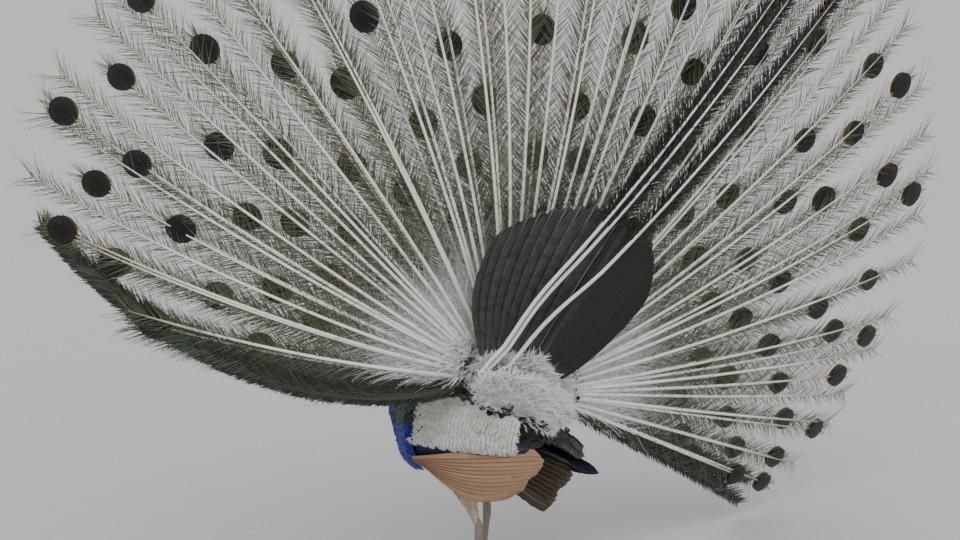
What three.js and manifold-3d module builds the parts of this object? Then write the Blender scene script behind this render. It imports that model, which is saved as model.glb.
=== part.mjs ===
// A life-size peacock in full display. Millimetres, +Z up. The body heads along +Y and its right
// side is +X. The bird stands on its toes at Z = 0, and the fan is turned and rolled to its right.
import * as THREE from "three";
import { mergeVertices } from "three/addons/utils/BufferGeometryUtils.js";
import Module from "manifold-3d";

const wasm = await Module();
wasm.setup();

// Driving sizes
const gap = 0.4; // clearance between neighbouring pieces

// Trunk and neck: y, z, half width, half depth to the back, half depth to the belly.
const bodyStations = [
  [-206, 428, 10, 10, 10],
  [-196, 426, 34, 30, 34],
  [-163, 411, 66, 52, 62],
  [-105, 386, 93, 76, 88],
  [-30, 359, 111, 93, 104],
  [45, 344, 115, 99, 106],
  [108, 349, 106, 95, 99],
  [152, 376, 88, 82, 84],
  [176, 416, 68, 65, 64],
  [182, 464, 51, 49, 48],
  [172, 514, 40, 38, 37],
  [156, 564, 33, 31, 30],
  [146, 612, 28, 26, 25],
  [149, 655, 23, 22, 21],
  [161, 691, 19, 19, 17],
  [174, 712, 15, 15, 14],
];
const neckCuts = [
  { y: 104, z: 412, tilt: 53 }, // tilt: degrees that the cut's upper face leans forwards
  { y: 156, z: 566, tilt: -14 },
  { y: 161, z: 694, tilt: 26 },
];

// Head, from the back of the crown to the root of the bill: y, z, half width, up, down.
const headStations = [
  [157, 719, 4, 4, 4],
  [161, 720, 12, 12, 12],
  [171, 723, 18.5, 19, 18],
  [186, 726, 21.5, 21.5, 20.5],
  [200, 726, 20, 20, 18.5],
  [212, 722, 15.5, 16, 14],
  [221, 718, 11, 11.5, 9.5],
  [227, 716, 7.5, 7.5, 6],
];
const upperBillStations = [
  [216, 717.5, 7.5, 6.5, 2.4],
  [229, 717, 6.8, 6, 3],
  [241, 714.5, 5, 4.8, 3],
  [251, 710, 3, 3.2, 2.4],
  [258, 704.5, 1, 1, 1.4],
];
const lowerBillStations = [
  [216, 710.6, 6.2, 2.4, 4.6],
  [231, 709.6, 5.2, 2.4, 3.6],
  [243, 707.6, 3.4, 2, 2.4],
  [251, 705.4, 1.3, 1.2, 0.9],
];
const eye = { x: 14.8, y: 202, z: 729, radius: 6.2 };
const crest = {
  y: 184, z: 746, count: 11, spread: 74, lean: 12, // degrees
  shaft: 50, shaftWidth: 1.1, tip: 15, tipWidth: 13, tipThickness: 1.2,
  rootRadius: 7, rootShape: [0.7, 1.4, 0.6], rootLength: 9, stagger: 0.64, outward: 4, // degrees
};

// Legs: the left foot is back and the right foot forward, as in a slow step.
const legs = [
  { side: "left", x: -58, hipY: -8, ankleY: -64, footY: -54 },
  { side: "right", x: 58, hipY: 44, ankleY: 16, footY: 30 },
];
const ankleHeight = 158;
const hipHeight = 308;
const thighRadii = [54, 50, 38, 24, 14, 11];
const shankRadii = [9.5, 7.4, 6.4, 6.4, 7.6, 9];
const toeHeight = 10;
const toes = [
  { name: "inner", length: 50, turn: -32, width: 10 },
  { name: "middle", length: 68, turn: 0, width: 11 },
  { name: "outer", length: 54, turn: 30, width: 10 },
  { name: "hind", length: 30, turn: 176, width: 8.5 },
];
const toeTaper = 0.62; // share of its width and height that a toe keeps at its tip
const sole = { top: 8, bottom: 9.5, height: 11 }; // the round pad under the shank
const claw = { length: 13, radius: 2.9, rootHeight: 3.6, middleHeight: 4.2, tipHeight: 1.2 };
const spur = { height: 62, length: 21, radius: 5.2, share: 0.4, outward: 12, rise: 6 };
const knee = { forwards: 8, rise: 6, inwards: 0.9, shankMiddle: 80 };

// Wings: sizes seen from the side. The pivot is the shoulder.
const wing = {
  pivotY: 95, pivotZ: 364, centreZ: 341, halfHeight: 113, halfWidth: 121,
  narrowing: { front: 26, back: 14, low: 18 }, // towards the shoulder and the rump
};
const shield = { // turns are degrees down from the back's middle line
  front: 114, slant: 26, round: 34, thickness: 9, edgeThickness: 1.6,
  out: 6, topFront: 36, topBack: 66, bottom: 89,
};
const secondaries = {
  count: 9, front: 66, slant: 40, scallop: 10, thickness: 2.2, out: 5.5,
  top: 90.5, bottomFront: 108, bottomBack: 97,
};
const primaries = {
  count: 7, thickness: 2, wristY: 84, wristTop: 300, wristBottom: 274, start: 14, back: 26,
  scallop: 0.05, inset: 4, innerInset: 8, tipInset: 16, overlap: 1.2,
};
const wings = [
  {
    side: "left", sign: -1, droop: -8, splay: 2, shieldBack: -266, secondaryBack: -268,
    primaryLength: 388, lowestShare: 0.7, tipTop: 332, tipBottom: 243, bow: 30,
  },
  {
    side: "right", sign: 1, droop: 12, splay: 4, shieldBack: -224, secondaryBack: -254,
    primaryLength: 276, lowestShare: 0.84, tipTop: 326, tipBottom: 211, bow: 20,
  },
];

// Fan: it starts at the apex over the rump. The angles turn it away from the body's own axes.
const fan = {
  apex: new THREE.Vector3(0, -114, 472),
  yaw: 20, lean: 10, roll: 26, // degrees: to the right, backwards, right side down
  from: -129, to: 95, // first and last feather, degrees from the fan's own middle line
  middleLength: 1290, leftLength: 1090, rightLength: 850,
  rootWidth: 55, // how far the outer feathers root from the middle line
  rootCup: -4, tipCup: 12, leftCup: 38, rightCup: 10, // degrees that they curve towards the front
  swirl: 3, leftSwirl: 65, rightSwirl: 4, // degrees that the tips turn clockwise, from behind
  panels: 13, tipsPerPanel: 3, tipDepth: 26, start: 95, rootThickness: 3.2, tipThickness: 1.4,
};
const trainPad = { radius: 112, across: 160, depth: 30, below: 52 };

// Tail: two half fans of stiff quills behind the train, and the down beneath them.
const tail = {
  length: 440, sideLength: 330, feathers: 9, back: 47, lean: 9, fold: 13, start: 24, shift: -28,
  thickness: 2.4, parting: 3, droop: 5, scallop: 0.05, overlap: 1.4,
};
const tailHalves = [
  { side: "left", sign: -1, spread: 26, rootSpread: 88, bulge: 34 },
  { side: "right", sign: 1, spread: 21, rootSpread: 72, bulge: 22 },
];
const underTail = { across: 134, up: 50, deep: 25, back: 79, shift: -24, lift: -12 };

// Materials
const paint = (color, roughness, metalness = 0) =>
  new THREE.MeshStandardMaterial({ color, roughness, metalness });
const materials = {
  blue: paint(0x16308f, 0.45, 0.2),
  body: paint(0x1d3d36, 0.6, 0.1),
  bill: paint(0x8b857a, 0.4),
  eye: paint(0x1a0f08, 0.1),
  leg: paint(0x77706a, 0.6),
  thigh: paint(0xa98a63, 0.8),
  claw: paint(0x3b342d, 0.4),
  barred: paint(0xb9b3a3, 0.75),
  secondary: paint(0x141c30, 0.5, 0.1),
  primary: paint(0xb07a4a, 0.7),
  tail: paint(0x39343a, 0.75),
  down: paint(0xc6c6cd, 0.9),
  train: paint(0x4f5b45, 0.65, 0.1),
};

// Making solids
const bird = new THREE.Group();
const vector = (x, y, z) => new THREE.Vector3(x, y, z);
const radians = THREE.MathUtils.degToRad;
const { lerp, smoothstep, clamp } = THREE.MathUtils;

// A closed surface as a solid, turned the right way out.
function solidFrom(points, faces) {
  const make = (order) =>
    new wasm.Manifold(
      new wasm.Mesh({
        numProp: 3,
        vertProperties: Float32Array.from(points.flatMap((p) => p.toArray())),
        triVerts: Uint32Array.from(faces.flatMap(order)),
      }),
    );
  const solid = make((face) => face);
  return solid.volume() > 0 ? solid : make(([a, b, c]) => [a, c, b]);
}

// One of three.js's own closed geometries as a solid.
function solidOf(geometry) {
  geometry.deleteAttribute("normal");
  geometry.deleteAttribute("uv");
  const merged = mergeVertices(geometry, 1e-3);
  const at = merged.getAttribute("position");
  const points = Array.from({ length: at.count }, (_, i) => vector().fromBufferAttribute(at, i));
  const faces = [];
  for (let i = 0; i < merged.index.count; i += 3) faces.push([...merged.index.array.slice(i, i + 3)]);
  return solidFrom(points, faces);
}

function addPiece(name, solid, material) {
  const made = solid.getMesh();
  const geometry = new THREE.BufferGeometry()
    .setAttribute("position", new THREE.BufferAttribute(made.vertProperties, 3))
    .setIndex(new THREE.BufferAttribute(made.triVerts, 1));
  geometry.computeVertexNormals();
  const mesh = new THREE.Mesh(geometry, material);
  mesh.name = name;
  bird.add(mesh);
  return mesh;
}

// A solid through rings of equally many points, closed by a point in the middle of each end.
function loft(rings) {
  const sides = rings[0].length;
  const points = rings.flat();
  const faces = [];
  for (let i = 0; i + 1 < rings.length; i++)
    for (let j = 0; j < sides; j++) {
      const a = i * sides + j;
      const b = i * sides + ((j + 1) % sides);
      faces.push([a, b, b + sides], [a, b + sides, a + sides]);
    }
  const middle = (ring) => ring.reduce((sum, p) => sum.add(p), vector(0, 0, 0)).divideScalar(sides);
  const last = (rings.length - 1) * sides;
  points.push(middle(rings[0]), middle(rings.at(-1)));
  for (let j = 0; j < sides; j++) {
    const next = (j + 1) % sides;
    faces.push([points.length - 2, next, j], [points.length - 1, last + j, last + next]);
  }
  return solidFrom(points, faces);
}

// A ring round a centre: half width along x, up and down along the two senses of the other axis.
function ring(centre, across, upwards, halfWidth, up, down, sides) {
  return Array.from({ length: sides }, (_, j) => {
    const turn = (2 * Math.PI * j) / sides;
    const height = Math.sin(turn) > 0 ? up : down;
    return centre
      .clone()
      .addScaledVector(across, halfWidth * Math.cos(turn))
      .addScaledVector(upwards, height * Math.sin(turn));
  });
}

// A solid along the middle plane through stations of y, z, half width, up and down. It can be
// grown all round, which gives the tool that cuts its neighbours clear of it.
function spineLoft(stations, steps, sides, grow = 0) {
  const path = new THREE.CatmullRomCurve3(stations.map(([y, z]) => vector(0, y, z)));
  const sizes = [2, 3, 4].map(
    (column) => new THREE.CatmullRomCurve3(stations.map((s, i) => vector(i, s[column], 0))),
  );
  const rings = [];
  for (let i = 0; i <= steps; i++) {
    const t = i / steps;
    const ahead = path.getTangent(t);
    const upwards = vector(0, -ahead.z, ahead.y);
    const [halfWidth, up, down] = sizes.map((curve) => Math.max(curve.getPoint(t).y + grow, 0.5));
    rings.push(ring(path.getPoint(t), vector(1, 0, 0), upwards, halfWidth, up, down, sides));
  }
  if (grow) {
    rings[0].forEach((p) => p.addScaledVector(path.getTangent(0), -grow));
    rings.at(-1).forEach((p) => p.addScaledVector(path.getTangent(1), grow));
  }
  return loft(rings);
}

// A thin solid on a surface given by a function of u across and v along, both 0 to 1.
function slab(surface, columns, rows, thickness) {
  const step = 1e-3;
  const outer = [];
  const inner = [];
  for (let i = 0; i <= columns; i++)
    for (let j = 0; j <= rows; j++) {
      const u = i / columns;
      const v = j / rows;
      const alongU = surface(Math.min(u + step, 1), v).sub(surface(Math.max(u - step, 0), v));
      const alongV = surface(u, Math.min(v + step, 1)).sub(surface(u, Math.max(v - step, 0)));
      const normal = alongU.cross(alongV).normalize();
      const half = thickness(u, v) / 2;
      outer.push(surface(u, v).addScaledVector(normal, half));
      inner.push(surface(u, v).addScaledVector(normal, -half));
    }
  const points = [...outer, ...inner];
  const at = (i, j) => i * (rows + 1) + j;
  const faces = [];
  const quad = (a, b, c, d) => faces.push([a, b, c], [a, c, d]);
  const under = outer.length;
  for (let i = 0; i < columns; i++)
    for (let j = 0; j < rows; j++) {
      quad(at(i, j), at(i + 1, j), at(i + 1, j + 1), at(i, j + 1));
      quad(under + at(i, j), under + at(i, j + 1), under + at(i + 1, j + 1), under + at(i + 1, j));
    }
  const rim = [];
  for (let i = 0; i < columns; i++) rim.push(at(i, 0));
  for (let j = 0; j < rows; j++) rim.push(at(columns, j));
  for (let i = columns; i > 0; i--) rim.push(at(i, rows));
  for (let j = rows; j > 0; j--) rim.push(at(0, j));
  rim.forEach((a, k) => {
    const b = rim[(k + 1) % rim.length];
    quad(b, a, under + a, under + b);
  });
  return solidFrom(points, faces);
}

// Trunk, neck and head
const bodySteps = 22;
const bodySides = 16;
const headSteps = 8;
const headSides = 12;
const wholeBody = spineLoft(bodyStations, bodySteps, bodySides).add(
  spineLoft(headStations, headSteps, headSides),
);
const grownBody = spineLoft(bodyStations, bodySteps, bodySides, gap);
const grownHead = spineLoft(headStations, headSteps, headSides, gap);

// The share of a solid in front of a cut across the neck, or behind it.
function beyondCut(solid, { y, z, tilt }, ahead) {
  const normal = vector(0, Math.sin(radians(tilt)), Math.cos(radians(tilt)));
  const offset = normal.y * y + normal.z * z;
  return ahead
    ? solid.trimByPlane(normal.toArray(), offset + gap / 2)
    : solid.trimByPlane(normal.negate().toArray(), -offset + gap / 2);
}

function makeBody() {
  const [base, middle, top] = neckCuts;
  addPiece("trunk", beyondCut(wholeBody, base, false), materials.body);
  addPiece("neck_lower", beyondCut(beyondCut(wholeBody, base, true), middle, false), materials.blue);
  addPiece("neck_upper", beyondCut(beyondCut(wholeBody, middle, true), top, false), materials.blue);
  let head = beyondCut(wholeBody, top, true);
  for (const sign of [-1, 1]) {
    const ball = (radius) =>
      solidOf(new THREE.SphereGeometry(radius, 8, 6).translate(sign * eye.x, eye.y, eye.z));
    head = head.subtract(ball(eye.radius + gap));
    addPiece(sign < 0 ? "eye_left" : "eye_right", ball(eye.radius), materials.eye);
  }
  addPiece("head", head, materials.blue);
}

function makeBill() {
  const upper = spineLoft(upperBillStations, 6, 8);
  const lower = spineLoft(lowerBillStations, 5, 8);
  const clearOfUpper = spineLoft(upperBillStations, 6, 8, gap);
  addPiece("bill_upper", upper.subtract(grownHead), materials.bill);
  addPiece("bill_lower", lower.subtract(grownHead).subtract(clearOfUpper), materials.bill);
}

// Bare shafts that end in little fans, on one root on the crown.
function makeCrest() {
  const root = new THREE.SphereGeometry(crest.rootRadius, 8, 5).scale(...crest.rootShape);
  let whole = solidOf(root.translate(0, crest.y, crest.z + 1));
  const stalk = crest.shaftWidth;
  const profile = [ // height, width and thickness
    [-3, stalk, stalk], [crest.shaft, stalk, stalk],
    [crest.shaft + crest.tip * 0.75, crest.tipWidth, crest.tipThickness],
    [crest.shaft + crest.tip, crest.tipWidth * 0.6, crest.tipThickness],
  ];
  const rings = profile.map(([height, width, thickness]) => {
    const half = thickness / 2;
    return ring(vector(0, 0, height), vector(0, 1, 0), vector(1, 0, 0), width / 2, half, half, 4);
  });
  const plume = loft(rings);
  for (let i = 0; i < crest.count; i++) {
    const share = i / (crest.count - 1) - 0.5;
    const sign = i % 2 ? 1 : -1;
    const turn = new THREE.Matrix4()
      .makeTranslation(sign * crest.stagger, crest.y + share * crest.rootLength, crest.z)
      .multiply(new THREE.Matrix4().makeRotationX(radians(crest.lean - share * crest.spread)))
      .multiply(new THREE.Matrix4().makeRotationY(radians(sign * crest.outward)));
    whole = whole.add(plume.transform(turn.toArray()));
  }
  addPiece("crest", whole.subtract(grownHead), materials.blue);
}

// Legs
function limb(path, radii, sides, grow = 0) {
  const curve = new THREE.CatmullRomCurve3(path);
  const steps = radii.length - 1;
  const rings = radii.map((radius, i) => {
    const ahead = curve.getTangent(i / steps);
    const across = vector(1, 0, 0);
    const upwards = vector().crossVectors(ahead, across).normalize();
    const full = radius + grow;
    return ring(curve.getPoint(i / steps), across, upwards, full, full, full, sides);
  });
  return loft(rings);
}

// A toe lies flat on the floor and tapers towards its claw.
function toeSolid({ width, length }) {
  const rings = [0, 0.5, 1].map((t) => {
    const half = (width / 2) * lerp(1, toeTaper, t);
    const top = lerp(sole.height, toeHeight * toeTaper, t);
    const shoulder = top * 0.55;
    return [
      [-half, 0], [half, 0], [half, shoulder], [half / 2, top], [-half / 2, top], [-half, shoulder],
    ].map(([x, z]) => vector(x, t * length, z));
  });
  return loft(rings);
}

function makeLeg({ side, x, hipY, ankleY, footY }) {
  const sign = Math.sign(x);
  const thighPath = [
    vector(x * knee.inwards, hipY, hipHeight),
    vector(x, (hipY + ankleY) / 2 + knee.forwards, (hipHeight + ankleHeight) / 2 + knee.rise),
    vector(x, ankleY, ankleHeight),
  ];
  const thigh = limb(thighPath, thighRadii, 12).subtract(grownBody);
  addPiece("thigh_" + side, thigh, materials.thigh);

  const shankPath = [
    vector(x, ankleY, ankleHeight - 1),
    vector(x, lerp(ankleY, footY, 0.5), knee.shankMiddle),
    vector(x, footY, sole.height),
  ];
  const grownThigh = limb(thighPath, thighRadii, 12, gap);
  const shank = limb(shankPath, shankRadii, 8).subtract(grownThigh);
  addPiece("shank_" + side, shank, materials.leg);
  const grownShank = limb(shankPath, shankRadii, 8, gap);

  const pad = new THREE.CylinderGeometry(sole.top, sole.bottom, sole.height, 10);
  let foot = solidOf(pad.rotateX(Math.PI / 2).translate(0, 0, sole.height / 2));
  const place = new THREE.Matrix4().makeTranslation(x, footY, 0);
  for (const toe of toes) {
    const turn = new THREE.Matrix4().makeRotationZ(radians(toe.turn * -sign));
    const put = new THREE.Matrix4().multiplyMatrices(place, turn);
    foot = foot.add(toeSolid(toe).transform(turn.toArray()));
    const clawPath = [
      vector(0, toe.length + gap, claw.rootHeight),
      vector(0, toe.length + claw.length * 0.55, claw.middleHeight),
      vector(0, toe.length + claw.length, claw.tipHeight),
    ];
    const nail = limb(clawPath, [claw.radius, claw.radius * 0.8, 0.5], 6);
    addPiece(`claw_${toe.name}_${side}`, nail.transform(put.toArray()), materials.claw);
  }
  foot = foot.transform(place.toArray()).subtract(grownShank);
  addPiece("foot_" + side, foot, materials.leg);

  const spurY = lerp(footY, ankleY, spur.share);
  const spurPath = [[0.4, 0.1, 0], [0.75, 0.57, 0.17], [1, 1, 1]].map(([outward, back, rise]) =>
    vector(x - sign * outward * spur.outward, spurY - back * spur.length, spur.height + rise * spur.rise),
  );
  const horn = limb(spurPath, [spur.radius, spur.radius * 0.7, 0.6], 6);
  addPiece("spur_" + side, horn.subtract(grownShank), materials.claw);
}

// Wings
// A point of the wing's outer curve: y along the body, turn in degrees from straight up.
function wingPoint({ sign }, y, turn, out) {
  const { front, back, low } = wing.narrowing;
  const narrow = front * smoothstep(y, 70, 150) + back * smoothstep(-y, 120, 260);
  const halfHeight = wing.halfHeight - low * smoothstep(y, 90, 150);
  const a = radians(turn);
  const halfWidth = wing.halfWidth - narrow + out;
  return vector(sign * halfWidth * Math.sin(a), y, wing.centreZ + (halfHeight + out) * Math.cos(a));
}

// Rounded feather ends: 0 between two feathers and 1 at a feather's middle.
const scallop = (u, count) => Math.sqrt(Math.max(0, 1 - (2 * ((u * count) % 1) - 1) ** 2 * 0.92));

function placeWing(solid, { sign, droop, splay }) {
  const matrix = new THREE.Matrix4()
    .makeTranslation(0, wing.pivotY, wing.pivotZ)
    .multiply(new THREE.Matrix4().makeRotationX(radians(droop)))
    .multiply(new THREE.Matrix4().makeRotationZ(radians(sign * splay)))
    .multiply(new THREE.Matrix4().makeTranslation(0, -wing.pivotY, -wing.pivotZ));
  return solid.transform(matrix.toArray());
}

function makeWing(side) {
  // The shield of scapulars and coverts lies on the trunk and runs back past it.
  const shieldPoint = (u, v) => {
    const back = side.shieldBack + shield.slant * u;
    const front = shield.front - shield.round * (1 - Math.sin(Math.PI * Math.min(u + 0.1, 1)));
    const top = lerp(shield.topFront, shield.topBack, smoothstep(v, 0.25, 1));
    return wingPoint(side, lerp(front, back, v), lerp(top, shield.bottom, u), shield.out);
  };
  const shieldDepth = (u, v) => {
    const across = Math.sin(Math.PI * clamp(u, 0.04, 0.96));
    const along = Math.sin(Math.PI * clamp(v * 0.9 + 0.08, 0, 0.97));
    return lerp(shield.edgeThickness, shield.thickness, across * along);
  };

  const secondaryPoint = (u, v) => {
    const { front, slant, top, bottomFront, bottomBack, out, count } = secondaries;
    const tip = side.secondaryBack + slant * u - secondaries.scallop * scallop(u, count / 3);
    const bottom = lerp(bottomFront, bottomBack, Math.sqrt(v));
    return wingPoint(side, lerp(front, tip, v), lerp(top, bottom, u), out);
  };

  // The primaries run back from the wrist inside the secondaries, the lower ones shorter and bowed down.
  const primaryPoint = (u, v) => {
    const { count, wristY, wristTop, wristBottom, start, back, inset, innerInset, tipInset } = primaries;
    const tip = 1 - primaries.scallop * (1 - scallop(u, count));
    const reach = lerp(start, side.primaryLength * lerp(1, side.lowestShare, u ** 2) * tip, v);
    const y = wristY - back * u * (1 - v) - reach;
    const root = lerp(wristTop, wristBottom, u);
    const z = lerp(root, lerp(side.tipTop, side.tipBottom, u), v) - side.bow * u * Math.sin(Math.PI * v);
    const lapped = primaries.overlap * ((u * count) % 1);
    const inwards = inset + innerInset * u + tipInset * smoothstep(-y, 40, 320) - lapped;
    return vector(side.sign * (wing.halfWidth - inwards), y, z);
  };

  const parts = [
    ["coverts", shieldPoint, 6, 8, shieldDepth, materials.barred],
    ["secondaries", secondaryPoint, secondaries.count, 4, () => secondaries.thickness, materials.secondary],
    ["primaries", primaryPoint, primaries.count * 2, 4, () => primaries.thickness, materials.primary],
  ];
  let taken = grownBody;
  for (const [name, surface, columns, rows, depth, material] of parts) {
    const made = (extra) => placeWing(slab(surface, columns, rows, (u, v) => depth(u, v) + extra), side);
    addPiece(`wing_${name}_${side.side}`, made(0).subtract(taken), material);
    taken = taken.add(made(2 * gap));
  }
  return taken;
}

// Fan
// The fan's own axes: ahead is its face, middle runs up its middle line, right is across it.
const fanAxes = (() => {
  const yaw = radians(fan.yaw);
  const level = vector(Math.sin(yaw), Math.cos(yaw), 0);
  const across = vector(Math.cos(yaw), -Math.sin(yaw), 0);
  const lean = radians(fan.lean);
  const up = vector(0, 0, Math.cos(lean)).addScaledVector(level, -Math.sin(lean));
  const ahead = level.multiplyScalar(Math.cos(lean)).add(vector(0, 0, Math.sin(lean)));
  const roll = radians(fan.roll);
  const middle = up.clone().multiplyScalar(Math.cos(roll)).addScaledVector(across, Math.sin(roll));
  const right = across.multiplyScalar(Math.cos(roll)).addScaledVector(up, -Math.sin(roll));
  return { ahead, middle, right };
})();

const bump = (angle, centre, width) => Math.exp(-(((angle - centre) / width) ** 2));

const fanLength = (angle) => {
  const edge = angle < 0 ? fan.leftLength : fan.rightLength;
  return lerp(edge, fan.middleLength, Math.cos(radians(clamp(angle, -95, 95) * 0.94)) ** 0.8);
};
const fanCup = (angle) => {
  const side = angle < 0 ? fan.leftCup : fan.rightCup;
  return fan.tipCup + side * Math.sin(radians(clamp(angle, -90, 90))) ** 2;
};
const fanSwirl = (angle) =>
  fan.swirl + fan.leftSwirl * bump(angle, -130, 42) + fan.rightSwirl * bump(angle, 75, 30);

// The place on the fan at a distance along the feather that starts out at this angle.
function fanPoint(angle, distance) {
  const steps = 10;
  const root = fan.rootWidth * clamp(angle / 60, -1, 1);
  const point = fan.apex.clone().addScaledVector(fanAxes.right, root);
  for (let i = 0; i < steps; i++) {
    const share = ((i + 0.5) / steps) * (distance / fanLength(angle));
    const cup = radians(lerp(fan.rootCup, fanCup(angle), share));
    const turn = radians(angle + fanSwirl(angle) * share);
    const step = distance / steps;
    point
      .addScaledVector(fanAxes.middle, step * Math.cos(cup) * Math.cos(turn))
      .addScaledVector(fanAxes.right, step * Math.cos(cup) * Math.sin(turn))
      .addScaledVector(fanAxes.ahead, step * Math.sin(cup));
  }
  return point;
}

// Moves a solid made along the fan's axes, x to its right, y ahead and z up its middle, to the apex.
function onFan(solid) {
  const basis = new THREE.Matrix4().makeBasis(fanAxes.right, fanAxes.ahead, fanAxes.middle);
  return solid.transform(basis.setPosition(fan.apex).toArray());
}

const disc = (across, deep, up) => new THREE.SphereGeometry(1, 12, 7).scale(across, deep, up);

// The pad that the train grows from, a lens cut off level below.
function trainRoot(grow) {
  const lens = disc(trainPad.across + grow, trainPad.depth + grow, trainPad.radius + grow);
  return onFan(solidOf(lens).trimByPlane([0, 0, 1], -trainPad.below - grow));
}

function makeTrain(taken) {
  addPiece("train_root", trainRoot(0).subtract(taken), materials.train);
  const clearing = taken.add(trainRoot(gap));
  const width = (fan.to - fan.from) / fan.panels;
  for (let k = 0; k < fan.panels; k++) {
    const first = fan.from + k * width;
    const surface = (u, v) => {
      const angle = first + u * width;
      const length = fanLength(angle) - fan.tipDepth * (1 - scallop(u, fan.tipsPerPanel));
      const distance = lerp(fan.start, length, v);
      const shrink = gap / (radians(width) * distance);
      return fanPoint(first + width * lerp(shrink, 1 - shrink, u), distance);
    };
    const thickness = (u, v) => lerp(fan.rootThickness, fan.tipThickness, v);
    const panel = slab(surface, fan.tipsPerPanel * 3, 4, thickness);
    addPiece("train_" + String(k + 1).padStart(2, "0"), panel.subtract(clearing), materials.train);
  }
  return clearing;
}

// Tail
// One half of the tail: overlapping quills that spread from the middle line to one side.
function tailHalf({ sign, spread, rootSpread, bulge }, thickness) {
  const surface = (u, v) => {
    const share = u ** 0.9;
    const angle = radians(spread * share);
    const full = lerp(tail.length, tail.sideLength, share ** 1.8);
    const reach = lerp(tail.start, full * (1 - tail.scallop * (1 - scallop(u, tail.feathers))), v);
    const outward = rootSpread + bulge * Math.sin(Math.PI * v);
    const across = tail.parting + outward * share + (reach - tail.start) * Math.sin(angle);
    const up = reach * Math.cos(angle) - tail.droop * share;
    const overlap = tail.overlap * ((u * tail.feathers) % 1);
    const forwards = across * Math.sin(radians(tail.fold)) - reach * Math.sin(radians(tail.lean));
    return vector(tail.shift + sign * across, forwards + overlap - tail.back, up);
  };
  return onFan(slab(surface, tail.feathers * 2, 3, () => thickness));
}

function makeTail(taken) {
  let clearing = taken;
  for (const half of tailHalves) {
    addPiece("tail_" + half.side, tailHalf(half, tail.thickness).subtract(clearing), materials.tail);
    clearing = clearing.add(tailHalf(half, tail.thickness + 2 * gap));
  }
  const pad = disc(underTail.across, underTail.deep, underTail.up);
  pad.translate(underTail.shift, -underTail.back, underTail.lift);
  addPiece("under_tail", onFan(solidOf(pad)).subtract(clearing), materials.down);
}

// The bird
makeBody();
makeBill();
makeCrest();
legs.forEach(makeLeg);
const bodyAndWings = wings.map(makeWing).reduce((all, one) => all.add(one));
makeTail(makeTrain(bodyAndWings));

// The origin is the middle of the bounding box's underside.
const box = new THREE.Box3().setFromObject(bird, true);
const middle = box.getCenter(vector());
bird.position.set(-middle.x, -middle.y, -box.min.z);

export default bird;
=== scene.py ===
import math

import bpy
import numpy as np
from mathutils.bvhtree import BVHTree
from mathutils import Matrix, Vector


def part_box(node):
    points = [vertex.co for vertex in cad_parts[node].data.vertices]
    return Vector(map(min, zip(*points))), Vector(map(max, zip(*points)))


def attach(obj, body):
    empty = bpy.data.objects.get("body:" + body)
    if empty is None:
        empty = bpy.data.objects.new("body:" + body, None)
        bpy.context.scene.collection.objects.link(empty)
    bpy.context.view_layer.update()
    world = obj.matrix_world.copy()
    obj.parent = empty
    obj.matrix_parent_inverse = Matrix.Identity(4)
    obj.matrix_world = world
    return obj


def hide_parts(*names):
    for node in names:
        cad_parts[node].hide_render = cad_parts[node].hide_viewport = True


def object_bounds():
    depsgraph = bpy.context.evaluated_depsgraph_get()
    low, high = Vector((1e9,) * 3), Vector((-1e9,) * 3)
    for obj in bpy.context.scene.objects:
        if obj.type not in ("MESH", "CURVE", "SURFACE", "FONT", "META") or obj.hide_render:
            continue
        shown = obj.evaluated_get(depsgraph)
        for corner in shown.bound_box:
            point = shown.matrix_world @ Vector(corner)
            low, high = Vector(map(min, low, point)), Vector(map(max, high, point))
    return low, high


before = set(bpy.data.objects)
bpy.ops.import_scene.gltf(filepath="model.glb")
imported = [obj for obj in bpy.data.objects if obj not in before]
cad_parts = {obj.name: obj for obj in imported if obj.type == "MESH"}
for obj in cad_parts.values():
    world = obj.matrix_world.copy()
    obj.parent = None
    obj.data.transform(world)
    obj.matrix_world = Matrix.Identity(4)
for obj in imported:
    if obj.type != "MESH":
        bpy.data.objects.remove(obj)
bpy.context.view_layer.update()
rng = np.random.default_rng(11)
body = "root"

# The bird's own axes start on the floor between its feet; the right eye says where that is.
rightEye = np.array([0.0148, 0.202, 0.729])
origin = np.mean([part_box("eye_right")[0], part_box("eye_right")[1]], axis=0) - rightEye
upwards = np.array([0, 0, 1.0])
black = (0.0, 0.0, 0.0)


# small sums on arrays of points
def unit(v):
    return v / np.maximum(np.linalg.norm(v, axis=-1, keepdims=True), 1e-9)


def mix(a, b, t):
    a = np.asarray(a, float)
    return a + (b - a) * t


def shade(a, b, t):  # colours from a to b, one for each point
    return mix(a, b, np.reshape(t, (-1, 1)))


def smooth(low, high, x):
    t = np.clip((x - low) / (high - low), 0, 1)
    return t * t * (3 - 2 * t)


def bump(x, centre, width):
    return np.exp(-(((x - centre) / width) ** 2))


def oval(y, z, wide, high):  # below 1 inside an oval, for numbers and for sockets
    return (y * (1 / wide)) ** 2 + (z * (1 / high)) ** 2


def ahead(path):  # the way a path goes at each of its points
    return unit(np.gradient(path, axis=-2))


def square(first, second, towards):  # square to both, on the side of towards
    out = np.cross(first, second)
    return out * np.sign(np.sum(out * towards, axis=-1, keepdims=True))


def stacked(*parts):  # one row for each point
    return np.stack(np.broadcast_arrays(*parts), axis=-1)


def turned(aim, face):  # quaternions that lay +Y along aim and +Z towards face
    y = unit(aim)
    x = unit(np.cross(y, face))
    z = np.cross(x, y)
    signs = np.array([[1, 1, 1], [1, -1, -1], [-1, 1, -1], [-1, -1, 1]])
    size = np.sqrt(np.maximum(0, 1 + stacked(x[:, 0], y[:, 1], z[:, 2]) @ signs.T)) / 2
    return np.copysign(size, stacked(1.0, y[:, 2] - z[:, 1], z[:, 0] - x[:, 2], x[:, 1] - y[:, 0]))


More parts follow.
